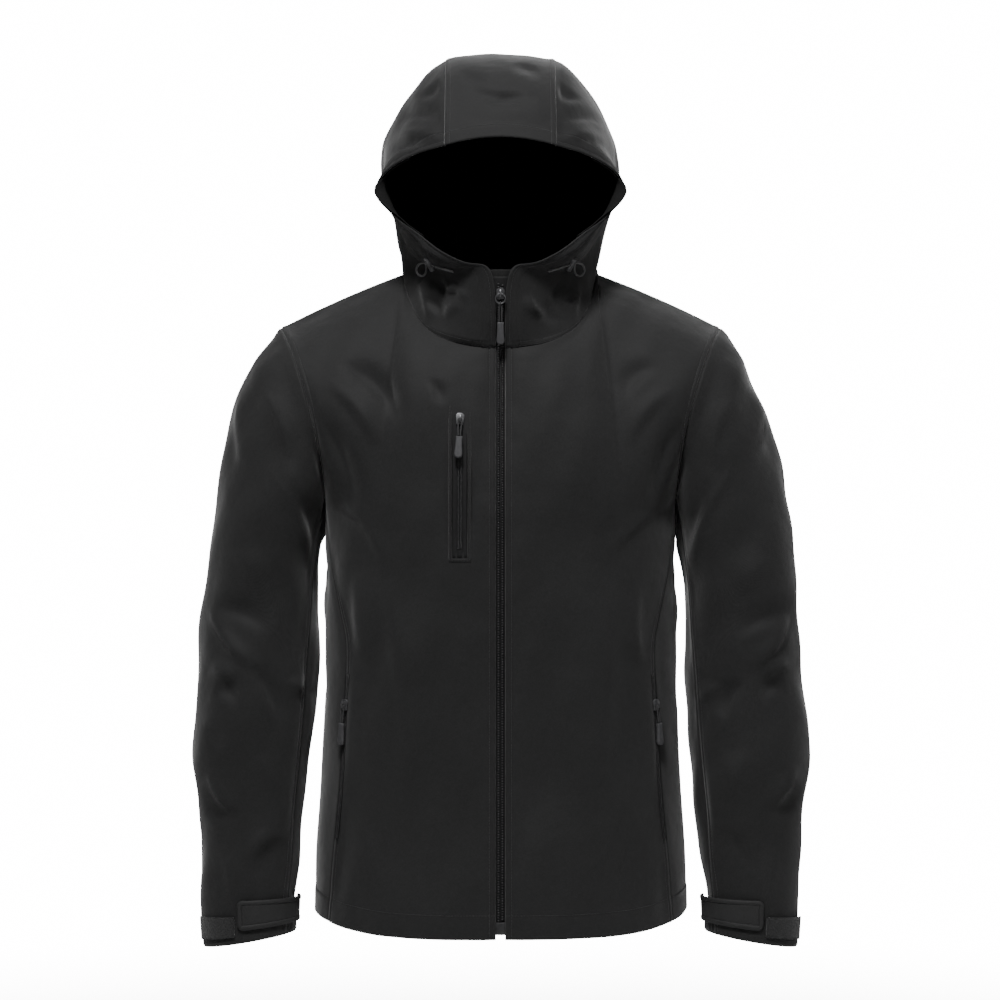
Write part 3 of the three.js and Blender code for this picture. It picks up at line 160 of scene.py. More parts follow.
def braid_with_painted_groove_shade():
    """Braided yarn: two sets of slanting strands over each other, on a place in turns and metres. Its colour
    is darker in the grooves between strands and lighter on their crowns, which is painted shade.
    """
    tree, takes, out = effect(
        "braid_painted_groove_shade", {"Place": (0, 0, 0), "Strands": 6.0, "Rise": 0.004, "Dark": (0, 0, 0, 1), "Light": (0.1, 0.1, 0.1, 1)})
    split = add(tree, "SeparateXYZ", {0: takes["Place"]}).outputs
    turn = sums(tree, "MULTIPLY", split[0], takes["Strands"])
    along = sums(tree, "DIVIDE", split[1], takes["Rise"])
    strands = []
    for operation in ("ADD", "SUBTRACT"):
        phase = sums(tree, "MULTIPLY", sums(tree, operation, turn, along), 2 * math.pi)
        strands.append(sums(tree, "ABSOLUTE", sums(tree, "SINE", phase, 0), 0))
    height = sums(tree, "MAXIMUM", *strands)
    fuzz = noise(tree, 1500.0)
    # Painted shade: the tone follows the strands' height, dark in the grooves and light on the crowns.
    share = sums(tree, "MULTIPLY_ADD", fuzz, 0.4, sums(tree, "MULTIPLY", height, 0.6))
    return give_out(tree, takes, out, share, sums(tree, "MULTIPLY_ADD", share, -0.2, 0.85),
                    sums(tree, "MULTIPLY_ADD", fuzz, 0.3, height))


def smooth_path(points, per_span=6):
    """A rounded path through points, evenly cut between each two."""
    spots = np.array(points, float)
    spots = np.vstack([2 * spots[0] - spots[1], spots, 2 * spots[-1] - spots[-2]])
    path = []
    for k in range(1, len(spots) - 2):
        a, b, c, d = spots[k - 1:k + 3]
        knots = np.cumsum([0] + [math.sqrt(np.linalg.norm(q - p)) for p, q in ((a, b), (b, c), (c, d))])
        for t in np.linspace(knots[1], knots[2], per_span, endpoint=False):
            line = [(p * (knots[i + 1] - t) + q * (t - knots[i])) / (knots[i + 1] - knots[i])
                    for i, (p, q) in enumerate(((a, b), (b, c), (c, d)))]
            pair = [(line[i] * (knots[i + 2] - t) + line[i + 1] * (t - knots[i])) / (knots[i + 2] - knots[i])
                    for i in range(2)]
            path.append((pair[0] * (knots[2] - t) + pair[1] * (t - knots[1])) / (knots[2] - knots[1]))
    return np.array(path + [spots[-2]])


def link(name, data):
    """A new object in the scene, with a mesh or a light."""
    piece = bpy.data.objects.new(name, data)
    bpy.context.collection.objects.link(piece)
    return piece


def show(name, form):
    """A finished bmesh as a piece in the scene."""
    mesh = bpy.data.meshes.new(name)
    form.to_mesh(mesh)
    form.free()
    return link(name, mesh)


def trim(piece, cloth, slot, *nodes, body="jacket"):
    """Give a made piece its material and body, and hide the nodes it stands for. The slot is not used."""
    piece.data.materials.append(cloth)
    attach(piece, body)
    if nodes:
        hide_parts(*nodes)
    return piece


def run_lengths(line):
    """Distance in mm from the start of a line of points to each of them."""
    return np.concatenate([[0], np.cumsum(np.linalg.norm(np.diff(line, axis=0), axis=1))])


def grid_piece(name, points, flat, close=False, turned=False):
    """A mesh from rows of points (mm): a grid, each corner moved to its place, with its map in metres."""
    rows, columns = points.shape[:2]
    form = bmesh.new()
    bmesh.ops.create_grid(form, x_segments=columns - 1, y_segments=rows - 1, size=0.5)
    layer = form.loops.layers.uv.new("cloth")
    spot = {}
    for vert in form.verts:
        spot[vert.index] = (round((vert.co.y + 0.5) * (rows - 1)), round((vert.co.x + 0.5) * (columns - 1)))
    for face in form.faces:
        face.smooth = True
        for loop in face.loops:
            loop[layer].uv = flat[spot[loop.vert.index]]
    for vert in form.verts:
        vert.co = points[spot[vert.index]] * MM
    if turned:
        bmesh.ops.reverse_faces(form, faces=form.faces)
    if close:
        bmesh.ops.remove_doubles(form, verts=form.verts, dist=1e-6)
        rims = [edge for edge in form.edges if edge.is_boundary]
        bmesh.ops.holes_fill(form, edges=rims, sides=0)
        bmesh.ops.recalc_face_normals(form, faces=form.faces)
    form.normal_update()
    return show(name, form)


def tube(name, path, radius, sides=12):
    """A cord of one thickness along a path (mm)."""
    run = np.gradient(path, axis=0)
    run /= np.linalg.norm(run, axis=1, keepdims=True)
    across = np.cross(run[0], (0.3, 0.2, 1.0))
    rings = []
    for spot, along in zip(path, run):
        across = across - along * (across @ along)
        across /= np.linalg.norm(across)
        up = np.cross(along, across)
        turns = np.linspace(0, 2 * math.pi, sides + 1)[:, None]
        rings.append(spot + radius * (np.cos(turns) * across + np.sin(turns) * up))
    lengths = run_lengths(path) * MM
    flat = np.stack(np.meshgrid(np.linspace(0, 1, sides + 1), lengths), -1)
    return grid_piece(name, np.array(rings), flat, close=True), lengths[-1]


BRAID_WITH_GROOVE_SHADE = braid_with_painted_groove_shade()
cord_cloth = finish(
    "braided cord", BRAID_WITH_GROOVE_SHADE,
    {"Strands": 4.0, "Rise": 0.0022, "Dark": (0.02, 0.02, 0.02, 1), "Light": (0.2, 0.2, 0.205, 1)},
    0.0002, place="cloth", Sheen_Weight=0.2)
drawcords = {}
for side, name in ((1, "left"), (-1, "right")):
    path = smooth_path([(side * x, y, z) for x, y, z in DRAWCORD_POINTS])
    drawcord, cord_length = tube("drawcord_" + name, path, DRAWCORD_THICK / 2)
    drawcords[side] = (trim(drawcord, cord_cloth, "cord", "drawcord_" + name), path, cord_length)

# Body cloth: the fronts, side panels and back. Bonded softshell, cut in five pieces, joined by felled
# seams and turned up at the hem. Each piece is a fine grid laid on the body's girths and yoke.
CLOTH = 1.8
FRONT_EDGE_X = 5.5
ROUNDNESS = 0.87
CHEST_Z = -285
UNDERARM_RISE = 42
HEM_SIDE = -695
HEM_FRONT_DROP = 17
HEM_BACK_DROP = 12
SHOULDER_TIP = (242, 5, -58)
SHOULDER_CROWN = 2.5
HEM_FULLNESS = 4
LOW_ROWS = 10
UP_ROWS = 9
FRONT_COLUMNS = 12
SIDE_COLUMNS = 6
YOKE_START = LOW_ROWS / (LOW_ROWS + UP_ROWS)
SHOULDER_STATION = 6
HOOD_SEAM_STATION = 10
BACK_STATION = 12


def table(columns, *rows):
    """Rows of a short table as arrays, one for each named column."""
    return {name: np.array([row[i] for row in rows], float) for i, name in enumerate(columns.split())}


def row_at(rows, key, value):
    """Smooth values between a table's rows, read by one of its columns."""
    keys = rows[key]
    at = np.clip(np.asarray(value, float), keys[0], keys[-1])
    i = np.clip(np.searchsorted(keys, at, side="right") - 1, 0, len(keys) - 2)
    before = np.maximum(i - 1, 0)
    after = np.minimum(i + 2, len(keys) - 1)
    span = keys[i + 1] - keys[i]
    t = (at - keys[i]) / span
    values = {}
    for name, column in rows.items():
        slope_a = (column[i + 1] - column[before]) / (keys[i + 1] - keys[before]) * span
        slope_b = (column[after] - column[i]) / (keys[after] - keys[i]) * span
        values[name] = hermite(column[i], column[i + 1], slope_a, slope_b, t)
    return values


def hermite(a, b, slope_a, slope_b, t):
    t2 = t * t
    t3 = t2 * t
    return a * (2 * t3 - 3 * t2 + 1) + slope_a * (t3 - 2 * t2 + t) + b * (3 * t2 - 2 * t3) + slope_b * (t3 - t2)


def mix(a, b, share):
    return a + (b - a) * share


def both(a, b):
    return np.broadcast_arrays(np.asarray(a, float), np.asarray(b, float))


def place(x, y, z):
    """Points from three arrays, the last axis being x, y, z."""
    return np.stack(np.broadcast_arrays(x, y, z), axis=-1).astype(float)


def bridge(low, top, pull, share):
    """Points on a smooth line from low to top, which leaves and lands as the pull's six values say."""
    return np.stack([hermite(low[..., i], top[..., i], pull["rise" + a], pull["land" + a], share)
                     for i, a in enumerate("XYZ")], -1)


BODY_ROWS = table(
    "z half front back",
    (-715, 204, 127, 116),
    (-640, 202, 127, 112),
    (-560, 196.5, 125, 105),
    (-470, 193, 124, 99),
    (-390, 192, 127, 103),
    (-285, 192, 130, 113),
    (-220, 194, 128, 116),
)
PRINCESS_ROWS = table(
    "z angle",
    (-715, 64),
    (-600, 60.5),
    (-470, 58),
    (-402, 57),
    (-370, 61),
    (-297, 74),
    (-243, 80),
)
NECK_ROWS = table(
    "turn x y z",
    (0, 0, -96, -84.5),
    (0.12, 30, -94, -83),
    (0.25, 56, -84, -76),
    (0.37, 81, -64, -61),
    (0.47, 97, -38, -34),
    (0.56, 107, -2, 1),
    (0.7, 98, 38, 9),
    (0.83, 66, 66, 12),
    (1, 0, 80, 14),
)
NECK_TURNS = np.array([0.022, 0.11, 0.2, 0.29, 0.38, 0.47, 0.56, 0.65, 0.74, 0.82, 0.88, 0.94, 1])
FRONT_YOKE = table(
    "column riseX riseY riseZ landX landY landZ",
    (0, 0, -6, 190, 0, 50, 190),
    (0.5, 4, -30, 250, -10, 230, 150),
    (0.74, 10, -110, 230, 30, 270, 110),
    (1, 6, -230, 190, 70, 290, 90),
)
BACK_YOKE = table(
    "column riseX riseY riseZ landX landY landZ",
    (0, 0, 24, 290, 0, -110, 230),
    (0.5, 4, 70, 260, -10, -200, 150),
    (0.74, 10, 130, 230, 30, -250, 110),
    (1, 6, 220, 190, 70, -290, 90),
)


def body_point(angle, z):
    """The body's face at an angle in degrees from the centre front (0) to the centre back (180)."""
    row = row_at(BODY_ROWS, "z", z)
    turn = np.radians(angle)
    in_front = np.asarray(angle) <= 90
    edge = np.where(in_front, FRONT_EDGE_X, 0)
    x = edge + (row["half"] - edge) * np.abs(np.sin(turn)) ** ROUNDNESS
    depth = np.where(in_front, -row["front"], row["back"])
    return place(x, depth * np.abs(np.cos(turn)) ** ROUNDNESS, z)


def hem_height(angle):
    drop = np.where(np.asarray(angle) <= 90, HEM_FRONT_DROP, HEM_BACK_DROP)
    return HEM_SIDE - drop * (1 - np.sin(np.radians(angle)) ** HEM_FULLNESS)


def neck_point(station):
    """The neck seam: station 0 at the zip, 6 at the shoulder seam, 12 at the centre back."""
    turn = np.interp(station, np.arange(len(NECK_TURNS)), NECK_TURNS)
    row = row_at(NECK_ROWS, "turn", turn)
    return place(row["x"], row["y"], row["z"])


def yoke_top(column, is_front):
    from_middle = np.asarray(column) * FRONT_COLUMNS
    neck = neck_point(np.minimum(from_middle, SHOULDER_STATION) if is_front
                      else BACK_STATION - np.minimum(from_middle, SHOULDER_STATION))
    share = np.clip((from_middle - SHOULDER_STATION) / (FRONT_COLUMNS - SHOULDER_STATION), 0, 1)
    points = mix(neck, np.array(SHOULDER_TIP, float), share[..., None])
    points[..., 2] += SHOULDER_CROWN * 4 * share * (1 - share)
    return points


def yoke_point(column, rise, is_front):
    column = np.asarray(column, float)
    chest_z = CHEST_Z + UNDERARM_RISE * column ** 3
    angle = column * row_at(PRINCESS_ROWS, "z", chest_z)["angle"]
    low = body_point(angle if is_front else 180 - angle, chest_z)
    top = yoke_top(column, is_front)
    pull = row_at(FRONT_YOKE if is_front else BACK_YOKE, "column", column)
    return bridge(low, top, pull, rise)


def main_panel(column, height, is_front):
    """A front or half back: columns from its middle out, height 0 at the hem and 1 at neck and shoulder."""
    column, height = both(column, height)
    rise = np.clip((height - YOKE_START) / (1 - YOKE_START), 0, 1)
    yoke = yoke_point(column, rise, is_front)
    top_z = CHEST_Z + UNDERARM_RISE * column ** 3
    hem_angle = column * row_at(PRINCESS_ROWS, "z", HEM_SIDE)["angle"]
    bottom_z = hem_height(hem_angle if is_front else 180 - hem_angle)
    z = mix(bottom_z, top_z, np.clip(height / YOKE_START, 0, 1))
    angle = column * row_at(PRINCESS_ROWS, "z", z)["angle"]
    low = body_point(angle if is_front else 180 - angle, z)
    return np.where((height > YOKE_START)[..., None], yoke, low)


def side_panel(across, height):
    hem_angle = row_at(PRINCESS_ROWS, "z", HEM_SIDE)["angle"]
    bottom_z = hem_height(mix(hem_angle, 180 - hem_angle, across))
    top_z = CHEST_Z + UNDERARM_RISE * (2 * across - 1) ** 2
    z = mix(bottom_z, top_z, height)
    seam = row_at(PRINCESS_ROWS, "z", z)["angle"]
    return body_point(mix(seam, 180 - seam, across), z)


def softshell_effect():
    """Bonded softshell: a fine plain-woven face, a little lint and uneven dye, and small soft crumples.
    The woven cells are painted lighter where raised and darker in their dips, which is painted shade.
    """
    tree, takes, out = effect(
        "softshell",
        {"Place": (0, 0, 0), "Thread": 0.0007, "Dark": (0, 0, 0, 1), "Light": (0.1, 0.1, 0.1, 1), "Crumple": 0.5,
         "Rough": 0.8})
    split = add(tree, "SeparateXYZ", {0: takes["Place"]}).outputs
    waves = []
    for axis in (0, 1):
        turn = sums(tree, "DIVIDE", split[axis], takes["Thread"])
        waves.append(sums(tree, "SINE", sums(tree, "MULTIPLY", turn, math.pi), 0))
    weave_relief_and_shade = sums(tree, "MULTIPLY", *waves)
    lint, dye = noise(tree, 620.0, 3.0), noise(tree, 9.0, 3.0)
    crease, pucker = noise(tree, 17.0, 3.0), noise(tree, 48.0)
    # Partly painted shade: the tone takes the woven cells' height, lighter where raised and darker in the dips.
    tone = sums(tree, "MULTIPLY_ADD", lint, 0.9, sums(tree, "MULTIPLY", weave_relief_and_shade, 0.16))
    tone = sums(tree, "MULTIPLY_ADD", dye, 0.5, sums(tree, "SUBTRACT", tone, 0.2))
    soft = sums(tree, "MULTIPLY_ADD", crease, 1.5, sums(tree, "MULTIPLY", pucker, 0.5))
    height = sums(tree, "MULTIPLY_ADD", soft, takes["Crumple"], sums(tree, "MULTIPLY", weave_relief_and_shade, 0.03))
    return give_out(tree, takes, out, tone, sums(tree, "MULTIPLY_ADD", lint, 0.12, takes["Rough"]),
                    sums(tree, "MULTIPLY_ADD", lint, 0.05, height))


SOFTSHELL = softshell_effect()
shell = finish(
    "softshell face", SOFTSHELL,
    {"Dark": (0.005, 0.005, 0.0052, 1), "Light": (0.022, 0.022, 0.0224, 1), "Crumple": 1.3, "Rough": 0.7},
    0.001, place="cloth", Sheen_Weight=0.25, Sheen_Roughness=0.45, Specular_IOR_Level=0.35)
lining = finish(
    "fleece backing", SOFTSHELL,
    {"Dark": (0.004, 0.004, 0.004, 1), "Light": (0.022, 0.022, 0.022, 1), "Crumple": 0.8, "Thread": 0.0014,
     "Rough": 0.85}, 0.001, place="cloth", Specular_IOR_Level=0.1)


def lay(surface, columns, rows):
    """Points and outward normals of a surface over two lists of shares, before any side is chosen."""
    u, v = np.meshgrid(columns, rows)
    step = 0.002
    across = surface(np.clip(u + step, 0, 1), v) - surface(np.clip(u - step, 0, 1), v)
    along = surface(u, np.clip(v + step, 0, 1)) - surface(u, np.clip(v - step, 0, 1))
    normal = np.cross(across, along)
    normal /= np.linalg.norm(normal, axis=-1, keepdims=True) + 1e-12
    return u, v, surface(u, v), normal


def spread(count, length, fine):
    """Shares from 0 to 1, evenly spread, with closer lines (in mm) beside the edges that are sewn."""
    close = [mm / length for mm in fine]
    bare = close[-1] * 1.3
    shares = [share for share in np.linspace(0, 1, int(count)) if bare < share < 1 - bare]
    return np.array(sorted(set([0.0, 1.0] + shares + close + [1 - c for c in close])))


def arc_lengths(points, axis):
    """Distance in mm along the grid from its first line, and back from its last."""
    steps = np.linalg.norm(np.diff(points, axis=axis), axis=-1)
    run = np.cumsum(steps, axis=axis)
    start = np.zeros_like(np.take(run, [0], axis=axis))
    run = np.concatenate([start, run], axis=axis)
    return run, np.take(run, [-1], axis=axis) - run


CREASE_FLANK = 0.55
SEAM_ROLL = 1.4
ROLL_WIDTH = 0.9
SEAM_ALLOWANCE = 6.6
ROW_DIP = 0.8


def bump(distance, width):
    return np.exp(-(distance / width) ** 2)


def layer_to(distance, edge, softness=0.7):
    """1 over a layer of cloth and 0 past its edge, by distance in mm."""
    return 1 / (1 + np.exp((distance - edge) / softness))


def crease_relief(creases, x, z):
    """Height in mm of soft folds. Each runs from one point to another in the front view,
    bowed sideways in the middle, with a steeper flank on one side."""
    height = np.zeros_like(x)
    for x1, z1, x2, z2, bow, width, rise in creases:
        run = np.array([x2 - x1, z2 - z1], float)
        long = np.hypot(*run)
        run /= long
        t = ((x - x1) * run[0] + (z - z1) * run[1]) / long
        inside = np.clip(4 * t * (1 - t), 0, 1)
        offset = (x - x1) * run[1] - (z - z1) * run[0] - bow * inside
        flank = np.where(offset > 0, width, width * CREASE_FLANK)
        ends = np.where((t > 0) & (t < 1), inside ** 1.5, 0)
        height += rise * ends * bump(offset, flank)
    return height


def soft_unevenness(s, amount, seed):
    """The slight unevenness of hung cloth, from a few long waves."""
    points = s["points"] * [s["side"], 1, 1]
    waves = np.random.default_rng(seed)
    total = np.zeros(points.shape[:-1])
    for size in (210, 130, 85, 55, 38):
        direction = waves.normal(size=3)
        direction *= 2 * math.pi / size / np.linalg.norm(direction)
        total += np.sin(points @ direction + waves.uniform(0, 6.28)) * size / 210
    return total * amount


def seam_relief(distance, raised, stitch_rows=(1.8, 6.0)):
    """Profile across a felled seam, by distance in mm from its edge: the cloth rolls into the join,
    lies thicker over the allowance on the raised side, and dips along each row of stitches."""
    roll = -SEAM_ROLL * bump(distance, ROLL_WIDTH)
    layer = raised * layer_to(distance, SEAM_ALLOWANCE, 0.5)
    dips = sum(-ROW_DIP * bump(distance - row, 0.7) for row in stitch_rows)
    return roll + layer + dips


def give_wall(piece, thickness):
    """The piece's thickness in mm, inward from its face."""
    wall = piece.modifiers.new("wall", "SOLIDIFY")
    wall.thickness = thickness * MM
    wall.offset = -1
    return wall


# How far the shown cloth laps past each edge of a piece, in mm, to cover the gap at its seam.
SEAM_LAP = 0.55


def cloth_panel(name, surface, columns, rows, side, middle, relief, wall=CLOTH, finishes=(shell, lining)):
    """A cloth piece on its surface (mm). relief gives the height of folds and seams over its face."""
    u, v, points, normal = lay(surface, columns, rows)
    facing = np.sign(np.sum(normal * (points - np.array(middle, float)), axis=-1).mean())
    normal *= facing
    for grid in (points, points.transpose(1, 0, 2)):
        for edge, next_in in ((grid[0], grid[1]), (grid[-1], grid[-2])):
            outward = edge - next_in
            edge += SEAM_LAP * outward / np.maximum(np.linalg.norm(outward, axis=-1, keepdims=True), 1e-9)
    left, right = arc_lengths(points, 1)
    low, high = arc_lengths(points, 0)
    spots = {"u": u, "v": v, "x": points[..., 0], "y": points[..., 1], "z": points[..., 2],
             "left": left, "right": right, "low": low, "high": high, "side": side, "points": points,
             "facing": -normal[..., 1]}
    points = points + normal * relief(spots)[..., None]
    flat = np.stack([left, low], -1) * MM
    piece = grid_piece(name, points * [side, 1, 1], flat, turned=side * facing < 0)
    give_wall(piece, wall).material_offset = 1
    outside, inside = finishes
    trim(piece, outside, "shell", name)
    piece.data.materials.append(inside)
    return {"points": points, "normal": normal, "side": side, "spots": spots}


def at_run(distance, run, line):
    """The point of a line at a distance along its run."""
    return np.array([np.interp(distance, run, line[:, i]) for i in range(3)])


def line_on(panel, measure, distance, start=0.0):
    """A run of points and normals on a panel where one of its distances has a value (mm)."""
    spots = panel["spots"]
    grids = [spots[measure], panel["points"], panel["normal"]]
    shares = spots["v"][:, 0]
    if measure in ("low", "high"):
        grids = [grid.swapaxes(0, 1) for grid in grids]
        shares = spots["u"][0]
    run = []
    for share, row, *lines in zip(shares, *grids):
        if share >= start:
            order = np.argsort(row)
            run.append([at_run(distance, row[order], line[order]) for line in lines])
    return np.array(run).transpose(1, 0, 2) * [panel["side"], 1, 1]


STITCH_PITCH = 3.2
STITCH_LONG = 2.5
STITCH_THICK = 0.55
SEAM_ROWS = (1.9, 6.1)
ROW_IN = 1.2
stitches = []


def sew(points, normals, gap=0.1):
    """Lock stitches along a run of points: one short thread for each, lying in the cloth's face."""
    run = run_lengths(points)
    for k in range(int(run[-1] / STITCH_PITCH)):
        middle = (k + 0.5) * STITCH_PITCH
        a, b = [at_run(middle + s * STITCH_LONG / 2, run, points) for s in (-1, 1)]
        out = at_run(middle, run, normals)
        up_run = (b - a) / np.linalg.norm(b - a)
        aside = np.cross(up_run, out)
        aside /= np.linalg.norm(aside)
        up = np.cross(aside, up_run)
        stitches.append(((a + b) / 2 + out * gap, aside * STITCH_THICK / 2, up * STITCH_THICK / 2.6, (b - a) / 2))


def sew_seam(panel, *edges):
    """Both rows of stitches of the felled seam along each of a panel's edges."""
    for edge in edges:
        for row in SEAM_ROWS:
            sew(*line_on(panel, edge, row))


def copies(name, form, places):
    """Many copies of one small form as one mesh, each at a middle with three axes (mm)."""
    form.verts.ensure_lookup_table()
    form.verts.index_update()
    template = np.array([vert.co[:] for vert in form.verts])
    faces = [[vert.index for vert in face.verts] for face in form.faces]
    form.free()
    points = []
    polygons = []
    for k, (middle, *axes) in enumerate(places):
        points.append(middle + template @ np.array(axes))
        polygons += [[v + k * len(template) for v in face] for face in faces]
    mesh = bpy.data.meshes.new(name)
    mesh.from_pydata((np.concatenate(points) * MM).tolist(), [], polygons)
    mesh.shade_smooth()
    return link(name, mesh)


def smoothstep(value, low, high):
    t = np.clip((value - low) / (high - low), 0, 1)
    return t * t * (3 - 2 * t)


def show_side(side):
    return "left" if side > 0 else "right"


# Soft folds of the fronts, in mm as seen from in front: both ends, bow, width and rise of each.
# The photographed ones differ a little between the wearer's left (+1) and right (-1).
FRONT_CREASES = {
    -1: [
        (174, -97, 104, -170, 10, 14.7, -9), (186, -120, 128, -196, 8, 10.7, 5.2),
        (196, -150, 158, -262, 6, 12.6, -8.1), (74, -120, 64, -148, 3, 6.9, -4.8),
        (150, -315, 144, -420, -5, 13.7, 4.2), (120, -330, 96, -560, 8, 25.4, 5.8),
        (60, -380, 72, -600, -8, 23.5, -3.8), (172, -250, 120, -330, 10, 11.7, 3.5),
        (140, -560, 120, -690, 6, 21.5, -3.4), (30, -160, 26, -300, 3, 15.6, 2.1),
    ],
    1: [
        (168, -100, 130, -140, 8, 13.7, -6.6), (186, -126, 136, -190, 8, 11.7, 4.2),
        (194, -160, 164, -258, 6, 11.7, -6.1), (146, -335, 150, -430, 5, 12.6, 4.2),
        (112, -320, 92, -580, -8, 25.4, 5.2), (56, -360, 66, -610, 7, 25.4, -3.8),
        (170, -262, 112, -318, 9, 11.7, 3.5), (134, -570, 116, -690, -6, 21.5, -3.4),
    ],
}
BACK_CREASES = [
    (150, -110, 60, -190, 12, 17, -6.5), (182, -150, 110, -260, 10, 13.6, 4.9),
    (168, -250, 60, -330, 12, 15.3, -4.2), (120, -380, 30, -470, 10, 18.7, -4.6),
    (150, -430, 60, -520, 10, 17, 3.8), (90, -540, 80, -690, 6, 20.4, -3),
    (40, -60, 36, -200, 6, 15.3, 3),
]
HEM_TURNING = 27.0
ZIP_ROW = 6.8
BODY_MIDDLE = (0, 0, -400)


def hem_relief(distance, depth=HEM_TURNING):
    """The turned-up hem: a rolled lower edge, one more layer, and the dip of its row of stitches."""
    layer = 0.8 * layer_to(distance, depth)
    return layer - 0.9 * bump(distance - depth + ROW_IN, 0.9) - 1.0 * bump(distance, ROLL_WIDTH)


def hem_pucker(distance, along, depth=HEM_TURNING):
    """Small unevenness of the cloth along a hem's row of stitches."""
    ripple = np.sin(along / 5.3) + 0.7 * np.sin(along / 8.9 + 1.3) + 0.6 * np.sin(along / 3.7 + 0.4)
    return 0.3 * ripple * bump(distance - depth, 14)


def front_relief(s):
    folds = crease_relief(FRONT_CREASES[s["side"]], s["x"], s["z"])
    fade = smoothstep(s["right"], 0, 16) * smoothstep(s["high"], 0, 12) * smoothstep(s["left"], 0, 22)
    wave = soft_unevenness(s, 1.8, 11) * fade
    zip_edge = -1.0 * bump(s["left"], ROLL_WIDTH) - 0.8 * bump(s["left"] - ZIP_ROW, 0.8)
    zip_edge += 0.22 * np.sin(s["low"] / 7.1) * bump(s["left"] - 10, 9)
    neck = -1.0 * bump(s["high"], ROLL_WIDTH)
    return (folds * fade + wave + seam_relief(s["right"], 0.7) + zip_edge + neck
            + hem_relief(s["low"]) + hem_pucker(s["low"], s["left"]))


quality = 1.0
SEAM_LINES = (0, 0.7, 1.6, 3, 5, 6, 7.6, 9, 11)
HEM_LINES = (0, 0.8, 1.8, 4, 9, 15, 21, 24, 25.2, 26, 27, 28.5, 31)
for side in (1, -1):
    columns = spread(60 * quality, 215, (0, 0.7, 1.6, 3, 5, 6, 6.8, 7.6, 9, 11))
    rows = spread(150 * quality, 650, HEM_LINES)
    front = cloth_panel(
        "front_" + show_side(side), lambda u, v: main_panel(u, v, True), columns, rows, side, BODY_MIDDLE,
        front_relief)
    sew_seam(front, "right")
    sew(*line_on(front, "left", ZIP_ROW))
    sew(*line_on(front, "low", HEM_TURNING - ROW_IN))


def side_relief(s):
    wave = soft_unevenness(s, 0.9, 23)
    fade = smoothstep(s["left"], 0, 14) * smoothstep(s["right"], 0, 14) * smoothstep(s["high"], 0, 20)
    folds = crease_relief([(30, -300, -40, -360, 8, 14, -3.0), (-30, -330, 40, -400, 6, 13, 2.4),
                           (40, -420, -30, -480, 6, 15, -1.8), (10, -520, 0, -680, 4, 16, 1.2)],
                          s["y"], s["z"])
    edge = seam_relief(s["left"], 0.0, ()) + seam_relief(s["right"], 0.0, ())
    return wave * fade + folds * fade + edge + hem_relief(s["low"]) - 1.0 * bump(s["high"], ROLL_WIDTH)


for side in (1, -1):
    columns = spread(30 * quality, 130, (0, 0.7, 1.6, 3, 6, 10))
    rows = spread(80 * quality, 440, HEM_LINES)
    panel = cloth_panel("side_panel_" + show_side(side), side_panel, columns, rows, side, BODY_MIDDLE, side_relief)
    sew(*line_on(panel, "low", HEM_TURNING - ROW_IN))


def back_surface(u, v):
    column = np.abs(2 * u - 1)
    points = main_panel(column, v, False)
    points[..., 0] *= np.where(u < 0.5, -1, 1)
    return points


def back_relief(s):
    folds = crease_relief(BACK_CREASES, s["x"], s["z"])
    folds += crease_relief([(-x1, z1 - 14, -x2, z2 - 8, -bow, w * 1.1, h * 0.8)
                            for x1, z1, x2, z2, bow, w, h in BACK_CREASES], s["x"], s["z"])
    edge = np.minimum(s["left"], s["right"])
    fade = smoothstep(edge, 0, 16) * smoothstep(s["high"], 0, 14)
    wave = soft_unevenness(s, 1.2, 37) * fade
    sewn = seam_relief(edge, 0.7) - 1.0 * bump(s["high"], ROLL_WIDTH)
    return folds * fade + wave + sewn + hem_relief(s["low"]) + hem_pucker(s["low"], s["left"])


columns = spread(110 * quality, 430, SEAM_LINES)
rows = spread(140 * quality, 690, HEM_LINES)
back = cloth_panel("back", back_surface, columns, rows, 1, BODY_MIDDLE, back_relief)
sew_seam(back, "left", "right")
sew(*line_on(back, "low", HEM_TURNING - ROW_IN))


# Sleeves: a top and an under sleeve on each arm, joined by two felled seams, set into the armhole and
# turned up at the cuff.
SLEEVE_RINGS = table(
    "at outerX outerZ innerX innerZ midY half",
    (0.06, 272, -99, 197.5, -320, 1, 79),
    (0.13, 291, -148, 199, -345, 0, 77),
    (0.21, 307, -214, 200, -371, -1, 74),
    (0.29, 318, -272, 200.5, -396, -3, 72),
    (0.38, 325.5, -340, 202, -420, -5, 69),
    (0.48, 331, -400, 203.5, -446, -8, 66),
    (0.58, 331.5, -461, 205, -480, -12, 62),
    (0.69, 335, -526, 209, -534, -17, 57),
    (0.79, 330.5, -580, 214, -583, -22, 52),
    (0.88, 328, -634, 217, -634, -27, 46),
    (0.95, 326, -677, 221, -675, -32, 41),
    (1, 322, -731, 222.5, -714, -38, 38),
)
SLEEVE_SEAMS = table(
    "at front back",
    (0, 155, 265),
    (0.2, 152, 290),
    (0.5, 150, 335),
    (1, 146, 345),
)
STATIONS = 2 * UP_ROWS + SIDE_COLUMNS
FRONT_SEAM_STATION = UP_ROWS
BACK_SEAM_STATION = STATIONS - 5
ARM_OUTWARD = np.array([0.977, 0, 0.211])
RING_GAP = 0.4


def armhole_point(station):
    station = np.asarray(station, float)
    is_front = (station <= STATIONS / 2)[..., None]
    from_tip = np.minimum(station, STATIONS - station)
    one = np.ones_like(station)
    fall = np.clip(1 - from_tip / UP_ROWS, 0, 1)
    yoke = np.where(is_front, yoke_point(one, fall, True), yoke_point(one, fall, False))
    inward = np.clip((from_tip - UP_ROWS) / SIDE_COLUMNS, 0, 1)
    under = side_panel(np.where(is_front[..., 0], inward, 1 - inward), one)
    return np.where((from_tip <= UP_ROWS)[..., None], yoke, under)


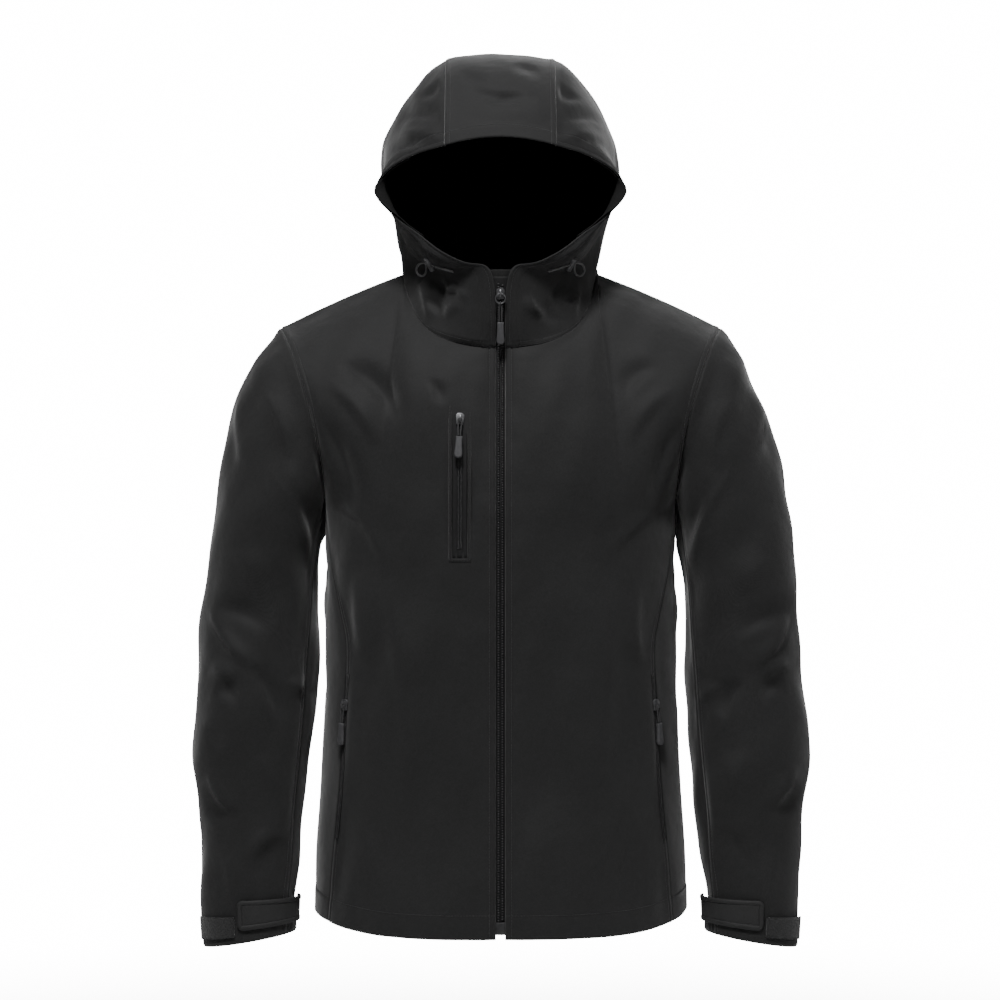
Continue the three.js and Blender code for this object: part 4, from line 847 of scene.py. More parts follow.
def sleeve_turn(station, at):
    seams = row_at(SLEEVE_SEAMS, "at", at)
    start = BACK_SEAM_STATION - STATIONS
    over = mix(seams["back"] - 360, seams["front"], (station - start) / (FRONT_SEAM_STATION - start))
    beneath = mix(seams["front"], seams["back"],
                  (station - FRONT_SEAM_STATION) / (BACK_SEAM_STATION - FRONT_SEAM_STATION))
    return np.where(station <= FRONT_SEAM_STATION, over, beneath)


def ring_point(at, turn):
    ring = row_at(SLEEVE_RINGS, "at", at)
    c = np.cos(np.radians(turn))
    x = (ring["outerX"] + ring["innerX"]) / 2 + (ring["outerX"] - ring["innerX"]) / 2 * c
    z = (ring["outerZ"] + ring["innerZ"]) / 2 + (ring["outerZ"] - ring["innerZ"]) / 2 * c
    return place(x, ring["midY"] - ring["half"] * np.sin(np.radians(turn)), z)


def sleeve_point(station, at):
    """The sleeve's face: a station round the arm, from -5 at the back seam by the outer edge to 9 at the
    front seam and on to 19, and the share of the way from the armhole to the cuff."""
    station, at = both(station, at)
    turn = sleeve_turn(station, at)
    start = armhole_point(np.mod(station, STATIONS)) + ARM_OUTWARD * RING_GAP
    first = SLEEVE_RINGS["at"][0]
    end = ring_point(first, turn)
    landing = (ring_point(first + 0.01, turn) - end) * (first / 0.01)
    reach = (end - start) * [1.3, 1, 0.6]
    share = np.clip(at / first, 0, 1)[..., None]
    head = hermite(start, end, reach, landing, share)
    return np.where((at >= first)[..., None], ring_point(at, turn), head)


def top_sleeve(u, v):
    return sleeve_point(mix(BACK_SEAM_STATION - STATIONS, FRONT_SEAM_STATION, u), v)


def under_sleeve(u, v):
    return sleeve_point(mix(FRONT_SEAM_STATION, BACK_SEAM_STATION, u), v)


# Folds of the sleeves as seen from in front and from behind: both ends, bow, width and rise.
SLEEVE_FOLDS = {
    -1: [
        (278, -124, 279, -212, -6, 8.7, 3.5), (265, -124, 228, -206, 10, 11.1, 4.4),
        (228, -206, 201, -262, -6, 11.1, 4.2), (243, -216, 197, -316, 10, 11.1, -5.6),
        (252, -210, 206, -330, 14, 9.9, 3.5), (300, -120, 292, -240, 6, 17.4, -3),
        (315, -362, 245, -386, 5, 14.9, -5.6), (317, -360, 257, -428, -10, 9.9, 5.6),
        (308, -452, 279, -462, 4, 13.6, -5.6), (268, -424, 234, -492, 6, 12.4, -5.6),
        (318, -430, 282, -444, 4, 11.1, 3.8), (230, -440, 214, -462, 3, 11.1, 4.2),
        (315, -538, 282, -584, -6, 11.1, 4.7), (322, -560, 290, -600, -6, 12.4, -4.2),
        (229, -610, 265, -656, -8, 14.9, -4.7), (240, -600, 272, -640, -6, 12.4, 3.5),
        (300, -620, 290, -690, 5, 14.9, 3), (262, -520, 246, -580, 6, 17.4, 3),
        (290, -300, 262, -340, 6, 17.4, 3.3), (236, -300, 216, -390, 6, 16, 3.3),
        (318, -490, 300, -520, 4, 12.4, -3.3),
    ],
    1: [
        (280, -118, 276, -200, -6, 9.9, 3.3), (262, -128, 224, -210, 10, 12.4, 4.2),
        (230, -210, 203, -268, -6, 11.1, 3.5), (246, -206, 200, -320, 10, 11.1, -5.6),
        (256, -204, 210, -326, 12, 9.9, 3.5), (302, -130, 296, -250, 6, 17.4, -2.7),
        (319, -370, 250, -392, 6, 14.9, -5.6), (317, -366, 262, -430, -9, 11.1, 5.2),
        (311, -446, 276, -460, 4, 13.6, -5.6), (262, -440, 238, -486, 6, 12.4, -5.6),
        (318, -424, 284, -440, 4, 11.1, 3.5), (232, -446, 216, -470, 3, 11.1, 3.8),
        (317, -530, 284, -580, -6, 11.1, 4.4), (322, -556, 290, -596, -6, 12.4, -3.8),
        (231, -600, 268, -650, -8, 14.9, -4.2), (300, -616, 288, -694, 5, 14.9, 2.7),
        (264, -514, 250, -576, 6, 17.4, 2.7), (288, -306, 262, -350, 6, 17.4, 3),
    ],
}
SLEEVE_BACK_FOLDS = [
    (300, -130, 240, -210, 10, 17.4, -5.6), (250, -120, 214, -200, 8, 14.9, 4.4),
    (320, -340, 230, -380, 8, 17.4, -5.6), (324, -380, 236, -400, 6, 14.9, 4.7),
    (322, -420, 240, -440, 8, 16, -5.6), (240, -250, 212, -330, 8, 14.9, 4.2),
    (320, -500, 270, -540, -8, 17.4, -4.2), (300, -560, 250, -620, -8, 16, 3.8),
    (310, -600, 280, -690, 6, 17.4, -3),
]
CUFF_TURNING = 24.0


def sleeve_relief(s):
    front = crease_relief(SLEEVE_FOLDS[s["side"]], s["x"], s["z"]) * smoothstep(s["facing"], -0.05, 0.45)
    behind = crease_relief(SLEEVE_BACK_FOLDS, s["x"], s["z"]) * smoothstep(-s["facing"], -0.05, 0.45)
    edge = np.minimum(s["left"], s["right"])
    fade = smoothstep(edge, 0, 14) * smoothstep(s["low"], 0, 18) * smoothstep(s["high"], 4, 30)
    wave = soft_unevenness(s, 2.2, 53) * fade
    sewn = seam_relief(s["left"], s["fell"]) + seam_relief(s["right"], s["fell"])
    head = -1.2 * bump(s["low"], ROLL_WIDTH) - 0.4 * bump(s["low"] - 6, 0.6) + 0.3 * bump(s["low"] - 3.5, 3)
    cuff = hem_relief(s["high"], CUFF_TURNING) + hem_pucker(s["high"], s["left"], CUFF_TURNING)
    return (front + behind) * fade + wave + sewn + head + cuff


for side in (1, -1):
    for name, surface, count, fell in (("sleeve_top_", top_sleeve, 90, 0.7), ("sleeve_under_", under_sleeve, 44, 0.0)):
        columns = spread(count * quality, 250 if fell else 130, SEAM_LINES)
        rows = spread(150 * quality, 560 if fell else 400,
                      (0, 0.8, 1.8, 3.4, 5, 6, 7, 9, 12, 18, 22, 24, 26, 29))
        sleeve = cloth_panel(
            name + show_side(side), surface, columns, rows, side, surface(0.5, 0.5) * [0, 0, 1] + (265, -20, 0),
            lambda s, fell=fell: sleeve_relief(dict(s, fell=fell)))
        if fell:
            sew_seam(sleeve, "left", "right")
        sew(*line_on(sleeve, "high", CUFF_TURNING - ROW_IN))


# Hood: two side panels that run up from the zip as the collar, and a centre panel over the crown,
# joined by felled seams. The brim and the face edge are turned in and stitched.
CREST_CORNER = 0.62
FACE_BEND = 1.93
NAPE_BEND = 3
CREST_ROWS = table(
    "along y z half drop",
    (0, -106, 139, 59.5, 9),
    (0.1, -90, 176, 59.5, 9),
    (0.2, -60, 212, 59.5, 8),
    (0.31, -18, 238, 60, 7),
    (0.42, 30, 246, 60, 6),
    (0.54, 84, 233, 60, 6),
    (0.64, 124, 202, 59, 7),
    (0.74, 147, 155, 56, 8),
    (0.84, 148, 104, 51, 8),
    (0.93, 124, 56, 46, 7),
    (1, 80, 14, 41, 4),
)
FACE_ROWS = table(
    "at x y z",
    (0, 5.5, -96, -84),
    (0.11, 5.5, -104, -52),
    (0.184, 7, -108, -20),
    (0.255, 15, -109, 1),
    (0.314, 38.8, -105, 6),
    (0.37, 63.5, -98, 18.4),
    (0.425, 87.3, -85, 37.3),
    (0.498, 114.9, -62, 59),
    (0.58, 135.5, -46, 84),
    (0.654, 129.5, -46, 102),
    (0.752, 114, -62, 114),
    (0.9, 87, -86, 124),
    (1, 59.5, -100, 130.3),
)
HOOD_ARCS = table(
    "back riseX riseY riseZ landX landY landZ",
    (0, 120, -60, 120, -200, -60, 60),
    (0.25, 70, 85, 120, -178, -24, 122),
    (0.5, 52, 125, 134, -185, -22, 100),
    (0.75, 110, 150, 110, -165, -30, 110),
    (1, 20, 160, 120, 0, -60, 180),
)
HOOD_FULLNESS = table(
    "up out",
    (0, 0),
    (0.2, 5),
    (0.4, 20),
    (0.6, 12),
    (0.8, 0),
    (1, 0),
)


def crest_inward(along):
    ahead = row_at(CREST_ROWS, "along", np.minimum(along + 0.01, 1))
    behind = row_at(CREST_ROWS, "along", np.maximum(along - 0.01, 0))
    inward = place(0, ahead["z"] - behind["z"], behind["y"] - ahead["y"])
    return inward / np.linalg.norm(inward, axis=-1, keepdims=True)


def crest_strip(across, along):
    row = row_at(CREST_ROWS, "along", along)
    edge = place(row["half"] * across, row["y"], row["z"])
    return edge + crest_inward(along) * (row["drop"] * across ** 2)[..., None]


def crest_point(across, along):
    across, along = both(across, along)
    seat = neck_point(mix(BACK_STATION, HOOD_SEAM_STATION, np.abs(across)))
    seat[..., 0] *= np.where(across < 0, -1, 1)
    bend = seat - crest_strip(across, np.ones_like(along))
    return crest_strip(across, along) + bend * (along ** 6)[..., None]


def hood_arc(back, up):
    low = neck_point(HOOD_SEAM_STATION * back)
    top = crest_point(np.ones_like(back), back * CREST_CORNER)
    pull = row_at(HOOD_ARCS, "back", back)
    points = bridge(low, top, pull, up)
    points[..., 0] += row_at(HOOD_FULLNESS, "up", up)["out"] * (1 - back ** 2)
    return points


# How far the hood's lower edge is tucked into the neck seam, in mm.
NECK_TUCK = 3.0


def hood_side(back, up):
    """The left side of the hood: back from the zip and face edge, up from the neck seam to the crown."""
    back, up = both(back, up)
    zero = np.zeros_like(back)
    edge = row_at(FACE_ROWS, "at", up)
    front_shift = place(edge["x"], edge["y"], edge["z"]) - hood_arc(zero, up)
    back_shift = crest_point(zero + 1, mix(1, CREST_CORNER, up)) - hood_arc(zero + 1, up)
    points = hood_arc(back, up) + front_shift * ((1 - back) ** FACE_BEND)[..., None]
    points = points + back_shift * (back ** NAPE_BEND)[..., None]
    tuck = mix(NECK_TUCK / 3, NECK_TUCK, np.clip((back - 0.2) / 0.3, 0, 1))
    points[..., 2] += (RING_GAP - tuck) * (1 - up) ** 6
    return points


BRIM_TURNING = 17.0
# How far the brim's two corners are drawn down to the side panels' brims, in mm.
BRIM_DIP = 6.5
BRIM_RUN = np.array([0, -0.6, -0.8])


def hood_crown(u, v):
    points = crest_point(2 * u - 1, v)
    points[..., 2] += (RING_GAP - NECK_TUCK) * v ** 6
    at_edge = (2 * u - 1) ** 2 * np.clip(1 - 4 * v, 0, 1) ** 2
    return points + BRIM_DIP * at_edge[..., None] * BRIM_RUN


HOOD_CREASES = {
    -1: [(70, -8, 64, -34, 3, 6, -6), (66, -22, 34, -38, 8, 5.1, 4.2), (36, -38, 60, -54, -6, 6, 3.6),
         (84, -30, 62, -50, 4, 6.8, -4.5), (46, -12, 52, -28, 3, 6.8, -3.6), (88, -10, 78, -60, 5, 7.6, 3.6),
         (112, 168, 62, 160, 5, 9.3, -4.5), (118, 144, 62, 138, 5, 8.5, 3.9), (120, 130, 70, 128, 4, 6.8, -3.6),
         (64, 206, 90, 190, 5, 7.6, -4.8)],
    1: [(80, -28, 78, -38, 3, 6.8, -5.4), (28, -26, 46, -50, 5, 6, 4.8), (66, -8, 60, -44, 4, 6.8, -3.9),
        (88, -12, 80, -58, 5, 7.6, 3.3), (50, -30, 62, -60, 4, 7.6, -3.6),
        (116, 164, 62, 156, 6, 9.3, -3.9), (118, 142, 60, 134, 5, 8.5, 3.3), (62, 204, 88, 186, 5, 7.6, -4.2)],
}
CHANNEL = 17.0


def hood_side_relief(s):
    folds = crease_relief(HOOD_CREASES[s["side"]], s["x"], s["z"]) * smoothstep(s["facing"], -0.1, 0.35)
    rear = crease_relief([(40, -20, 120, 40, 14, 13.6, -5.1), (60, 60, 150, 80, 10, 15.3, 4.2),
                          (0, 0, 90, 10, 8, 10.2, -3.9), (20, 150, 110, 170, 10, 17, 3.6)], s["y"], s["z"])
    rear *= smoothstep(-s["facing"], -0.5, 0.3)
    fade = smoothstep(s["high"], 0, 10) * smoothstep(s["right"], 0, 12) * smoothstep(s["low"], 0, 9)
    fade = fade * smoothstep(s["left"], 2, 20)
    wave = soft_unevenness(s, 1.9, 71) * fade
    channel = 1.1 * layer_to(s["left"], CHANNEL) - 0.9 * bump(s["left"] - CHANNEL + 1, 0.9)
    channel -= 1.1 * bump(s["left"], ROLL_WIDTH) + 0.7 * bump(s["left"] - 5, 0.8)
    rolls = -1.1 * bump(s["high"], 0.8) - 1.1 * bump(s["right"], 0.8)
    return (folds + rear) * fade + wave + seam_relief(s["low"], 0.7) + channel + rolls


for side in (1, -1):
    columns = spread(84 * quality, 250, (0, 0.8, 1.8, 3.4, 5, 6.6, 9, 13, 15, 16, 17, 18, 20))
    rows = spread(90 * quality, 240, SEAM_LINES)
    panel = cloth_panel(
        "hood_side_" + show_side(side), hood_side, columns, rows, side, (0, 20, 60), hood_side_relief)
    sew(*line_on(panel, "low", 1.9, 0.02))
    sew(*line_on(panel, "low", 6.1, 0.05))
    sew(*line_on(panel, "left", 5.0, 0.02))
    sew(*line_on(panel, "left", CHANNEL - 1, 0.34))


def crown_relief(s):
    edge = np.minimum(s["left"], s["right"])
    folds = crease_relief([(-40, 196, 30, 190, 6, 7.6, -3.9), (-20, 176, 44, 182, -5, 8.5, -3.3),
                           (-44, 216, -10, 205, 4, 7.6, -2.7), (10, 222, 46, 214, -4, 7.6, -2.7)], s["x"], s["z"])
    folds = folds * smoothstep(s["facing"], 0.05, 0.4)
    fade = smoothstep(edge, 0, 12) * smoothstep(s["low"], 10, 30) * smoothstep(s["high"], 0, 20)
    wave = soft_unevenness(s, 1.3, 89) * fade
    brim = hem_relief(s["low"], BRIM_TURNING)
    return folds * fade + wave + seam_relief(edge, 0.7) + brim - 1.0 * bump(s["high"], ROLL_WIDTH)


columns = spread(60 * quality, 122, SEAM_LINES)
rows = spread(150 * quality, 560, (0, 0.8, 1.8, 4, 9, 13, 15, 16, 17, 18, 20))
crown = cloth_panel("hood_centre", hood_crown, columns, rows, 1, (0, 20, 100), crown_relief)
sew_seam(crown, "left", "right")
sew(*line_on(crown, "low", BRIM_TURNING - ROW_IN))


# Hood facings: a strip of the cloth, wrong side out, turned in behind each edge of the face opening to
# make the drawcord's channel.
FACING_ACROSS = 0.2
FACING_ROWS = (5 / 12, 10 / 12)
FACING_DEPTH = 2.3


def facing_surface(u, v):
    return hood_side(u * FACING_ACROSS, mix(*FACING_ROWS, v))


for side in (1, -1):
    cloth_panel("hood_facing_" + show_side(side), facing_surface, np.linspace(0, 1, 16), np.linspace(0, 1, 50), side,
                (0, 20, 100), lambda s: -FACING_DEPTH - 0.5 * bump(s["right"] - 3, 0.8), 1.2, (lining, lining))


# Thread: black polyester a shade lighter than the cloth. Every visible row of lock stitches is sewn with
# it, and the doubled pull cords are plaited from it.
thread_black = finish(
    "black thread", BRAID_WITH_GROOVE_SHADE,
    {"Strands": 900.0, "Rise": 0.0011, "Dark": (0.008, 0.008, 0.008, 1), "Light": (0.05, 0.05, 0.052, 1)},
    0.0001, place="object", Sheen_Weight=0.1)


# Main zip: a woven tape behind the two edges, a moulded tooth every 2.75 mm on each side, a storm flap
# behind it all and a box at the bottom. The slider is shut at the chin.
TAPE_HALF = 12.5
TAPE_DEPTH = 3.15
FLAP_HALF = 19.0
FLAP_DEPTH = 4.85
TOOTH_PITCH = 2.75
TOOTH_SHAPE = (2.1, 2.6, 1.5)
TOOTH_ASIDE = 2.1
ZIP_TOP_UP = 2.32 / 12
ZIP_LOW = 0.45 / 19


def closing_edge(height):
    """The middle of the front at heights from 0 at the hem by 1 at the neck seam to 2 at the crown."""
    height = np.asarray(height, float)
    zero = np.zeros_like(height)
    return np.where((height <= 1)[..., None], main_panel(zero, np.clip(height, 0, 1), True),
                    hood_side(zero, np.clip(height - 1, 0, 1)))


def beside_middle(x, height):
    """The cloth's face at a distance beside the middle, level with a height of the closing edge."""
    edge = closing_edge(height)
    x = np.abs(np.asarray(x, float))
    share = np.maximum(x - FRONT_EDGE_X, 0)
    body = main_panel(share / 180, np.clip(height, 0, 1), True)
    collar = hood_side(share / 215, np.clip(height - 1, 0, 1))
    beside = np.where((height <= 1)[..., None], body, collar)
    return place(x, beside[..., 1], edge[..., 2])


def centre_strip(name, half, depth, thickness, low, high, cloth, slot, ridges):
    """A strip down the middle of the front, a depth behind the cloth's face."""
    heights = np.concatenate([np.linspace(low, 1, 160), np.linspace(1, high, 40)[1:]])
    shares = np.linspace(-1, 1, 17)
    x, height = np.meshgrid(shares * half, heights)
    points = beside_middle(x, height)
    run = np.gradient(points[:, 8], axis=0)
    out = np.stack([np.zeros(len(run)), -run[:, 2], run[:, 1]], -1)
    out /= np.linalg.norm(out, axis=1, keepdims=True)
    points[..., 0] = x
    points -= out[:, None] * (depth - ridges(np.abs(x)))[..., None]
    lengths = np.cumsum(np.linalg.norm(run, axis=1)) * MM
    flat = np.stack([x * MM, np.broadcast_to(lengths[:, None], x.shape)], -1)
    piece = grid_piece(name, points, flat)
    give_wall(piece, thickness)
    trim(piece, cloth, slot, name)


tape_cloth = finish(
    "zip tape", SOFTSHELL,
    {"Dark": (0.006, 0.006, 0.006, 1), "Light": (0.022, 0.022, 0.023, 1), "Crumple": 0.0, "Thread": 0.001,
     "Rough": 0.7}, 0.001, place="cloth", Specular_IOR_Level=0.3)
flap_cloth = finish(
    "softshell flap", SOFTSHELL,
    {"Dark": (0.01, 0.01, 0.01, 1), "Light": (0.026, 0.026, 0.026, 1), "Crumple": 0.3, "Rough": 0.8},
    0.001, place="cloth", Specular_IOR_Level=0.25)
centre_strip("main_zip_tape", TAPE_HALF, TAPE_DEPTH, 0.9, 0.1 / 19, 1 + ZIP_TOP_UP + 0.02, tape_cloth, "zip_tape",
             lambda x: 0.5 * bump(x - 2.2, 1.0))
centre_strip("storm_flap", FLAP_HALF, FLAP_DEPTH, 1.4, 0.1 / 19, 1 + 2.9 / 12, flap_cloth, "flap_cloth",
             lambda x: -0.4 * bump(x - 14, 0.8))


def moulding_effect():
    """Moulded or lacquered surface: a faint grain, worn lighter in places."""
    tree, takes, out = effect(
        "moulding", {"Place": (0, 0, 0), "Dark": (0, 0, 0, 1), "Light": (0.1, 0.1, 0.1, 1), "Grain": 2000.0,
                     "Rough": 0.4})
    grain = noise(tree, takes["Grain"], 3.0)
    wear = noise(tree, 240.0, 4.0)
    tone = sums(tree, "MULTIPLY_ADD", wear, 0.8, sums(tree, "MULTIPLY_ADD", grain, 0.4, -0.15))
    return give_out(tree, takes, out, tone, sums(tree, "MULTIPLY_ADD", wear, 0.2, takes["Rough"]), grain)


MOULDING = moulding_effect()
tooth_black = finish(
    "moulded teeth", MOULDING,
    {"Dark": (0.012, 0.012, 0.0125, 1), "Light": (0.05, 0.05, 0.052, 1), "Rough": 0.32}, 0.00005,
    Specular_IOR_Level=0.5)


def tooth_form():
    """One tooth: a block with every edge bevelled, across +X, along Z, out of the cloth on -Y."""
    form = bmesh.new()
    bmesh.ops.create_cube(form, size=1)
    bmesh.ops.scale(form, vec=TOOTH_SHAPE, verts=form.verts)
    bmesh.ops.bevel(form, geom=form.edges[:], offset=0.42, offset_type="OFFSET", segments=1, profile=0.5,
                    affect="EDGES", material=-1)
    return form


heights = np.concatenate([np.linspace(ZIP_LOW, 1, 400), np.linspace(1, 1 + ZIP_TOP_UP, 60)[1:]])
zip_line = closing_edge(heights) * [0, 1, 1]
zip_run = run_lengths(zip_line)
teeth = []
for k in range(int(zip_run[-1] / TOOTH_PITCH * 2)):
    at = (k + 0.5) * TOOTH_PITCH / 2
    spot, ahead, behind = [at_run(at + step, zip_run, zip_line) for step in (0, 3, -3)]
    up = (ahead - behind) / np.linalg.norm(ahead - behind)
    out = np.array([0, -up[2], up[1]])
    side = 1 if k % 2 else -1
    teeth.append((spot - out * 1.3 + [side * TOOTH_ASIDE, 0, 0], np.array([side, 0, 0]), -side * out, up))
trim(copies("main_zip_teeth", tooth_form(), teeth), tooth_black, "zip_teeth", "main_zip_chain")


# Sliders, pulls, eyelets, cord locks and the zip's box: dark lacquered castings, a wire ring, moulded
# rubber tips and plastic barrels, each with its edges rounded.
def rounded_copy(node, cast, slot, body, width, segments=2, smooth_levels=0):
    """A CAD piece with its edges rounded, on the same body."""
    source = bpy.data.objects[node]
    form = bmesh.new()
    form.from_mesh(source.data)
    form.transform(source.matrix_world)
    bmesh.ops.remove_doubles(form, verts=form.verts, dist=1e-6)
    piece = show(node + "_finished", form)
    piece.data.shade_smooth()
    if width:
        bevel = piece.modifiers.new("edges", "BEVEL")
        bevel.width = width * MM
        bevel.segments = segments
        bevel.limit_method = "ANGLE"
        bevel.angle_limit = math.radians(34)
    if smooth_levels:
        subdivide = piece.modifiers.new("round", "SUBSURF")
        subdivide.levels = subdivide.render_levels = smooth_levels
    return trim(piece, cast, slot, node, body=body)


cast_grey = finish(
    "lacquered casting", MOULDING,
    {"Dark": (0.06, 0.06, 0.063, 1), "Light": (0.28, 0.28, 0.29, 1), "Rough": 0.3}, 0.00005,
    Metallic=0.7, Specular_IOR_Level=0.5)
rubber_grey = finish(
    "moulded rubber", MOULDING,
    {"Dark": (0.045, 0.045, 0.048, 1), "Light": (0.1, 0.1, 0.105, 1), "Rough": 0.5}, 0.00008,
    Specular_IOR_Level=0.4)
lock_plastic = finish(
    "cord lock plastic", MOULDING,
    {"Dark": (0.05, 0.05, 0.052, 1), "Light": (0.18, 0.18, 0.185, 1), "Rough": 0.3}, 0.00005)
rounded_copy("main_zip_slider", cast_grey, "slider", "jacket", 0.35)
rounded_copy("main_zip_box", tooth_black, "zip_teeth", "jacket", 0.4)
rounded_copy("chest_slider", cast_grey, "slider", "jacket", 0.35)
rounded_copy("main_pull_ring", cast_grey, "slider", "main_pull", 0, smooth_levels=1)
PULLS = {"main_pull": "main", "chest_pull": "chest", "hip_pull_left": "hip_left", "hip_pull_right": "hip_right"}
for body, name in PULLS.items():
    rounded_copy(name + "_pull_cord", thread_black, "cord", body, 0, smooth_levels=1)
    rounded_copy(name + "_pull_tip", rubber_grey, "pull_tip", body, 0.5, 3)
for name in ("left", "right"):
    rounded_copy("hip_slider_" + name, cast_grey, "slider", "jacket", 0.35)
    side = 1 if name == "left" else -1
    lock = rounded_copy("cord_lock_" + name, lock_plastic, "cord_lock", "jacket", 0.5)
    eyelet = rounded_copy("eyelet_" + name, cast_grey, "eyelet", "jacket", 0.25)
    drawcord, path, cord_length = drawcords[side]


# Pocket zips: a coil of nylon sewn on a tape. The chest pocket's lies in a stitched welt on the wearer's
# right; the hip pockets' lie along the princess seams.
COIL_PITCH = 1.25


def located(surface, x, z, guess):
    """Shares of a surface where it has given x and z."""
    u = np.full(np.shape(x), float(guess[0]))
    v = np.full(np.shape(x), float(guess[1]))
    for _ in range(25):
        here = surface(u, v)
        aside = (surface(u + 0.002, v) - here) / 0.002
        above = (surface(u, v + 0.002) - here) / 0.002
        area = aside[..., 0] * above[..., 2] - aside[..., 2] * above[..., 0]
        off_x, off_z = x - here[..., 0], z - here[..., 2]
        u = u + np.clip((off_x * above[..., 2] - off_z * above[..., 0]) / area, -0.05, 0.05)
        v = v + np.clip((off_z * aside[..., 0] - off_x * aside[..., 2]) / area, -0.05, 0.05)
    return u, v


def front_face(u, v):
    return main_panel(u, v, True)


def face_at(u, v):
    """A point of the front, and the way out of it."""
    here = front_face(u, v)
    aside = front_face(u + 0.004, v) - here
    above = front_face(u, v + 0.004) - here
    out = np.cross(above, aside)
    out /= np.linalg.norm(out, axis=-1, keepdims=True)
    return here, out * np.where(out[..., 1:2] > 0, -1, 1)


def coil(name, line, outs, aside):
    """Two rows of nylon loops along a line (mm)."""
    run = run_lengths(line)
    form = bmesh.new()
    bmesh.ops.create_uvsphere(form, u_segments=6, v_segments=4, radius=1)
    bmesh.ops.scale(form, vec=(1.75, 0.55, 0.42), verts=form.verts)
    places = []
    for k in range(int(run[-1] / COIL_PITCH * 2)):
        at = (k + 0.5) * COIL_PITCH / 2
        spot, out, across = [at_run(at, run, a) for a in (line, outs, aside)]
        up = np.cross(out, across)
        turn = 1 if k % 2 else -1
        places.append((spot + across * turn * 1.35, across * turn, out * turn, up + 0.25 * across * turn))
    trim(copies(name, form, places), tooth_black, "zip_teeth")


CHEST_X = 43.0
CHEST_TOP = -131.0
CHEST_LOW = -313.0
WELT_HALF = 12.0
OPENING_HALF = 8.5
COIL_TOP = -172.0
COIL_LOW = -299.0


def on_chest(x, z, lift):
    u, v = located(front_face, x, z, (0.13, 0.64))
    here, out = face_at(u, v)
    return (here + out * np.asarray(lift, float)[..., None]) * [-1, 1, 1], out * [-1, 1, 1]


def chest_welt():
    """A closed frame of folded cloth with rounded faces, stitched all round near its outer edge."""
    middle, long = (CHEST_TOP + CHEST_LOW) / 2, (CHEST_TOP - CHEST_LOW) / 2
    corners = [(-1, 1), (-1, -1), (1, -1), (1, 1), (-1, 1)]
    frame = []
    for (x1, z1), (x2, z2) in zip(corners, corners[1:]):
        count = 60 if x1 == x2 else 10
        frame += [(mix(x1, x2, k / count), mix(z1, z2, k / count)) for k in range(count)]
    frame = np.array(frame + [frame[0]])
    profile = [(0, 0.0), (0, 0.9), (0.12, 1.8), (0.3, 2.05), (0.38, 1.75), (0.46, 2.05), (0.75, 2.1), (0.93, 1.9),
               (1, 1.2), (1, 0.0), (0, 0.0)]
    rings = []
    for share, height in profile:
        half = mix(WELT_HALF, OPENING_HALF, share)
        tall = long - (WELT_HALF - half)
        points, _ = on_chest(CHEST_X + frame[:, 0] * half, middle + frame[:, 1] * tall, np.full(len(frame), height))
        rings.append(points)
    points = np.array(rings).transpose(1, 0, 2)
    flat = np.stack(np.meshgrid(np.linspace(0, 0.008, len(profile)), np.linspace(0, 0.41, len(frame))), -1)
    trim(grid_piece("chest_welt", points, flat, close=True), shell, "shell", "chest_welt")
    stitched = mix(WELT_HALF, OPENING_HALF, 0.38)
    tall = long - (WELT_HALF - stitched)
    sew(*on_chest(CHEST_X + frame[:, 0] * stitched, middle + frame[:, 1] * tall, np.full(len(frame), 1.8)))


def chest_zip():
    z = np.linspace(CHEST_LOW + 4.5, CHEST_TOP - 4.5, 60)
    x, heights = np.meshgrid(CHEST_X + np.linspace(-7.6, 7.6, 13), z)
    bulge = 1.15 - 0.5 * np.exp(-((np.abs(x - CHEST_X) - 3.4) / 0.8) ** 2)
    points, _ = on_chest(x, heights, bulge)
    flat = np.stack([x, heights], -1) * MM
    strip = grid_piece("chest_zip_tape", points, flat, turned=True)
    give_wall(strip, 0.8)
    trim(strip, tape_cloth, "zip_tape", "chest_zip")
    z = np.linspace(COIL_LOW, COIL_TOP, 80)
    line, outs = on_chest(np.full_like(z, CHEST_X), z, np.full_like(z, 1.6))
    aside = np.cross(np.gradient(line, axis=0), outs)
    aside /= np.linalg.norm(aside, axis=1, keepdims=True)
    coil("chest_coil", line, outs, aside)


chest_welt()
chest_zip()
HIP_INNER, HIP_OUTER = 11.42 / 12, 11.9 / 12
HIP_LOW, HIP_HIGH = 2 / 19, 5.9 / 19
for side in (1, -1):
    u, v = np.meshgrid(np.linspace(HIP_INNER, HIP_OUTER, 9), np.linspace(HIP_LOW, HIP_HIGH, 70))
    here, out = face_at(u, v)
    hollow = 1.5 - 0.7 * np.sin(np.linspace(0, math.pi, 9))[None, :] ** 2
    points = (here + out * hollow[..., None]) * [side, 1, 1]
    across = np.linspace(0, 0.0085, 9)
    flat = np.stack(np.meshgrid(across, np.linspace(0, 0.18, 70)), -1)
    strip = grid_piece("hip_zip_tape_" + show_side(side), points, flat, turned=side < 0)
    give_wall(strip, 0.8)
    trim(strip, tape_cloth, "zip_tape", "hip_zip_" + show_side(side))
    line, outs = points[:, 4], (out * [side, 1, 1])[:, 4]
    aside = points[:, 5] - points[:, 3]
    aside /= np.linalg.norm(aside, axis=1, keepdims=True)
    coil("hip_coil_" + show_side(side), line + outs * 0.3, outs, aside)


# Cuff tabs and patches: a moulded tab with a raised border closes each cuff on a patch of loop pile
# sewn to the sleeve.
CUFF_TAB = {"from": 3.3, "to": 11.7, "low": 0.986, "high": 0.954, "lift": 2.0}
CUFF_PATCH = {"from": -2.7, "to": 2.9, "low": 0.993, "high": 0.972, "lift": 1.45}


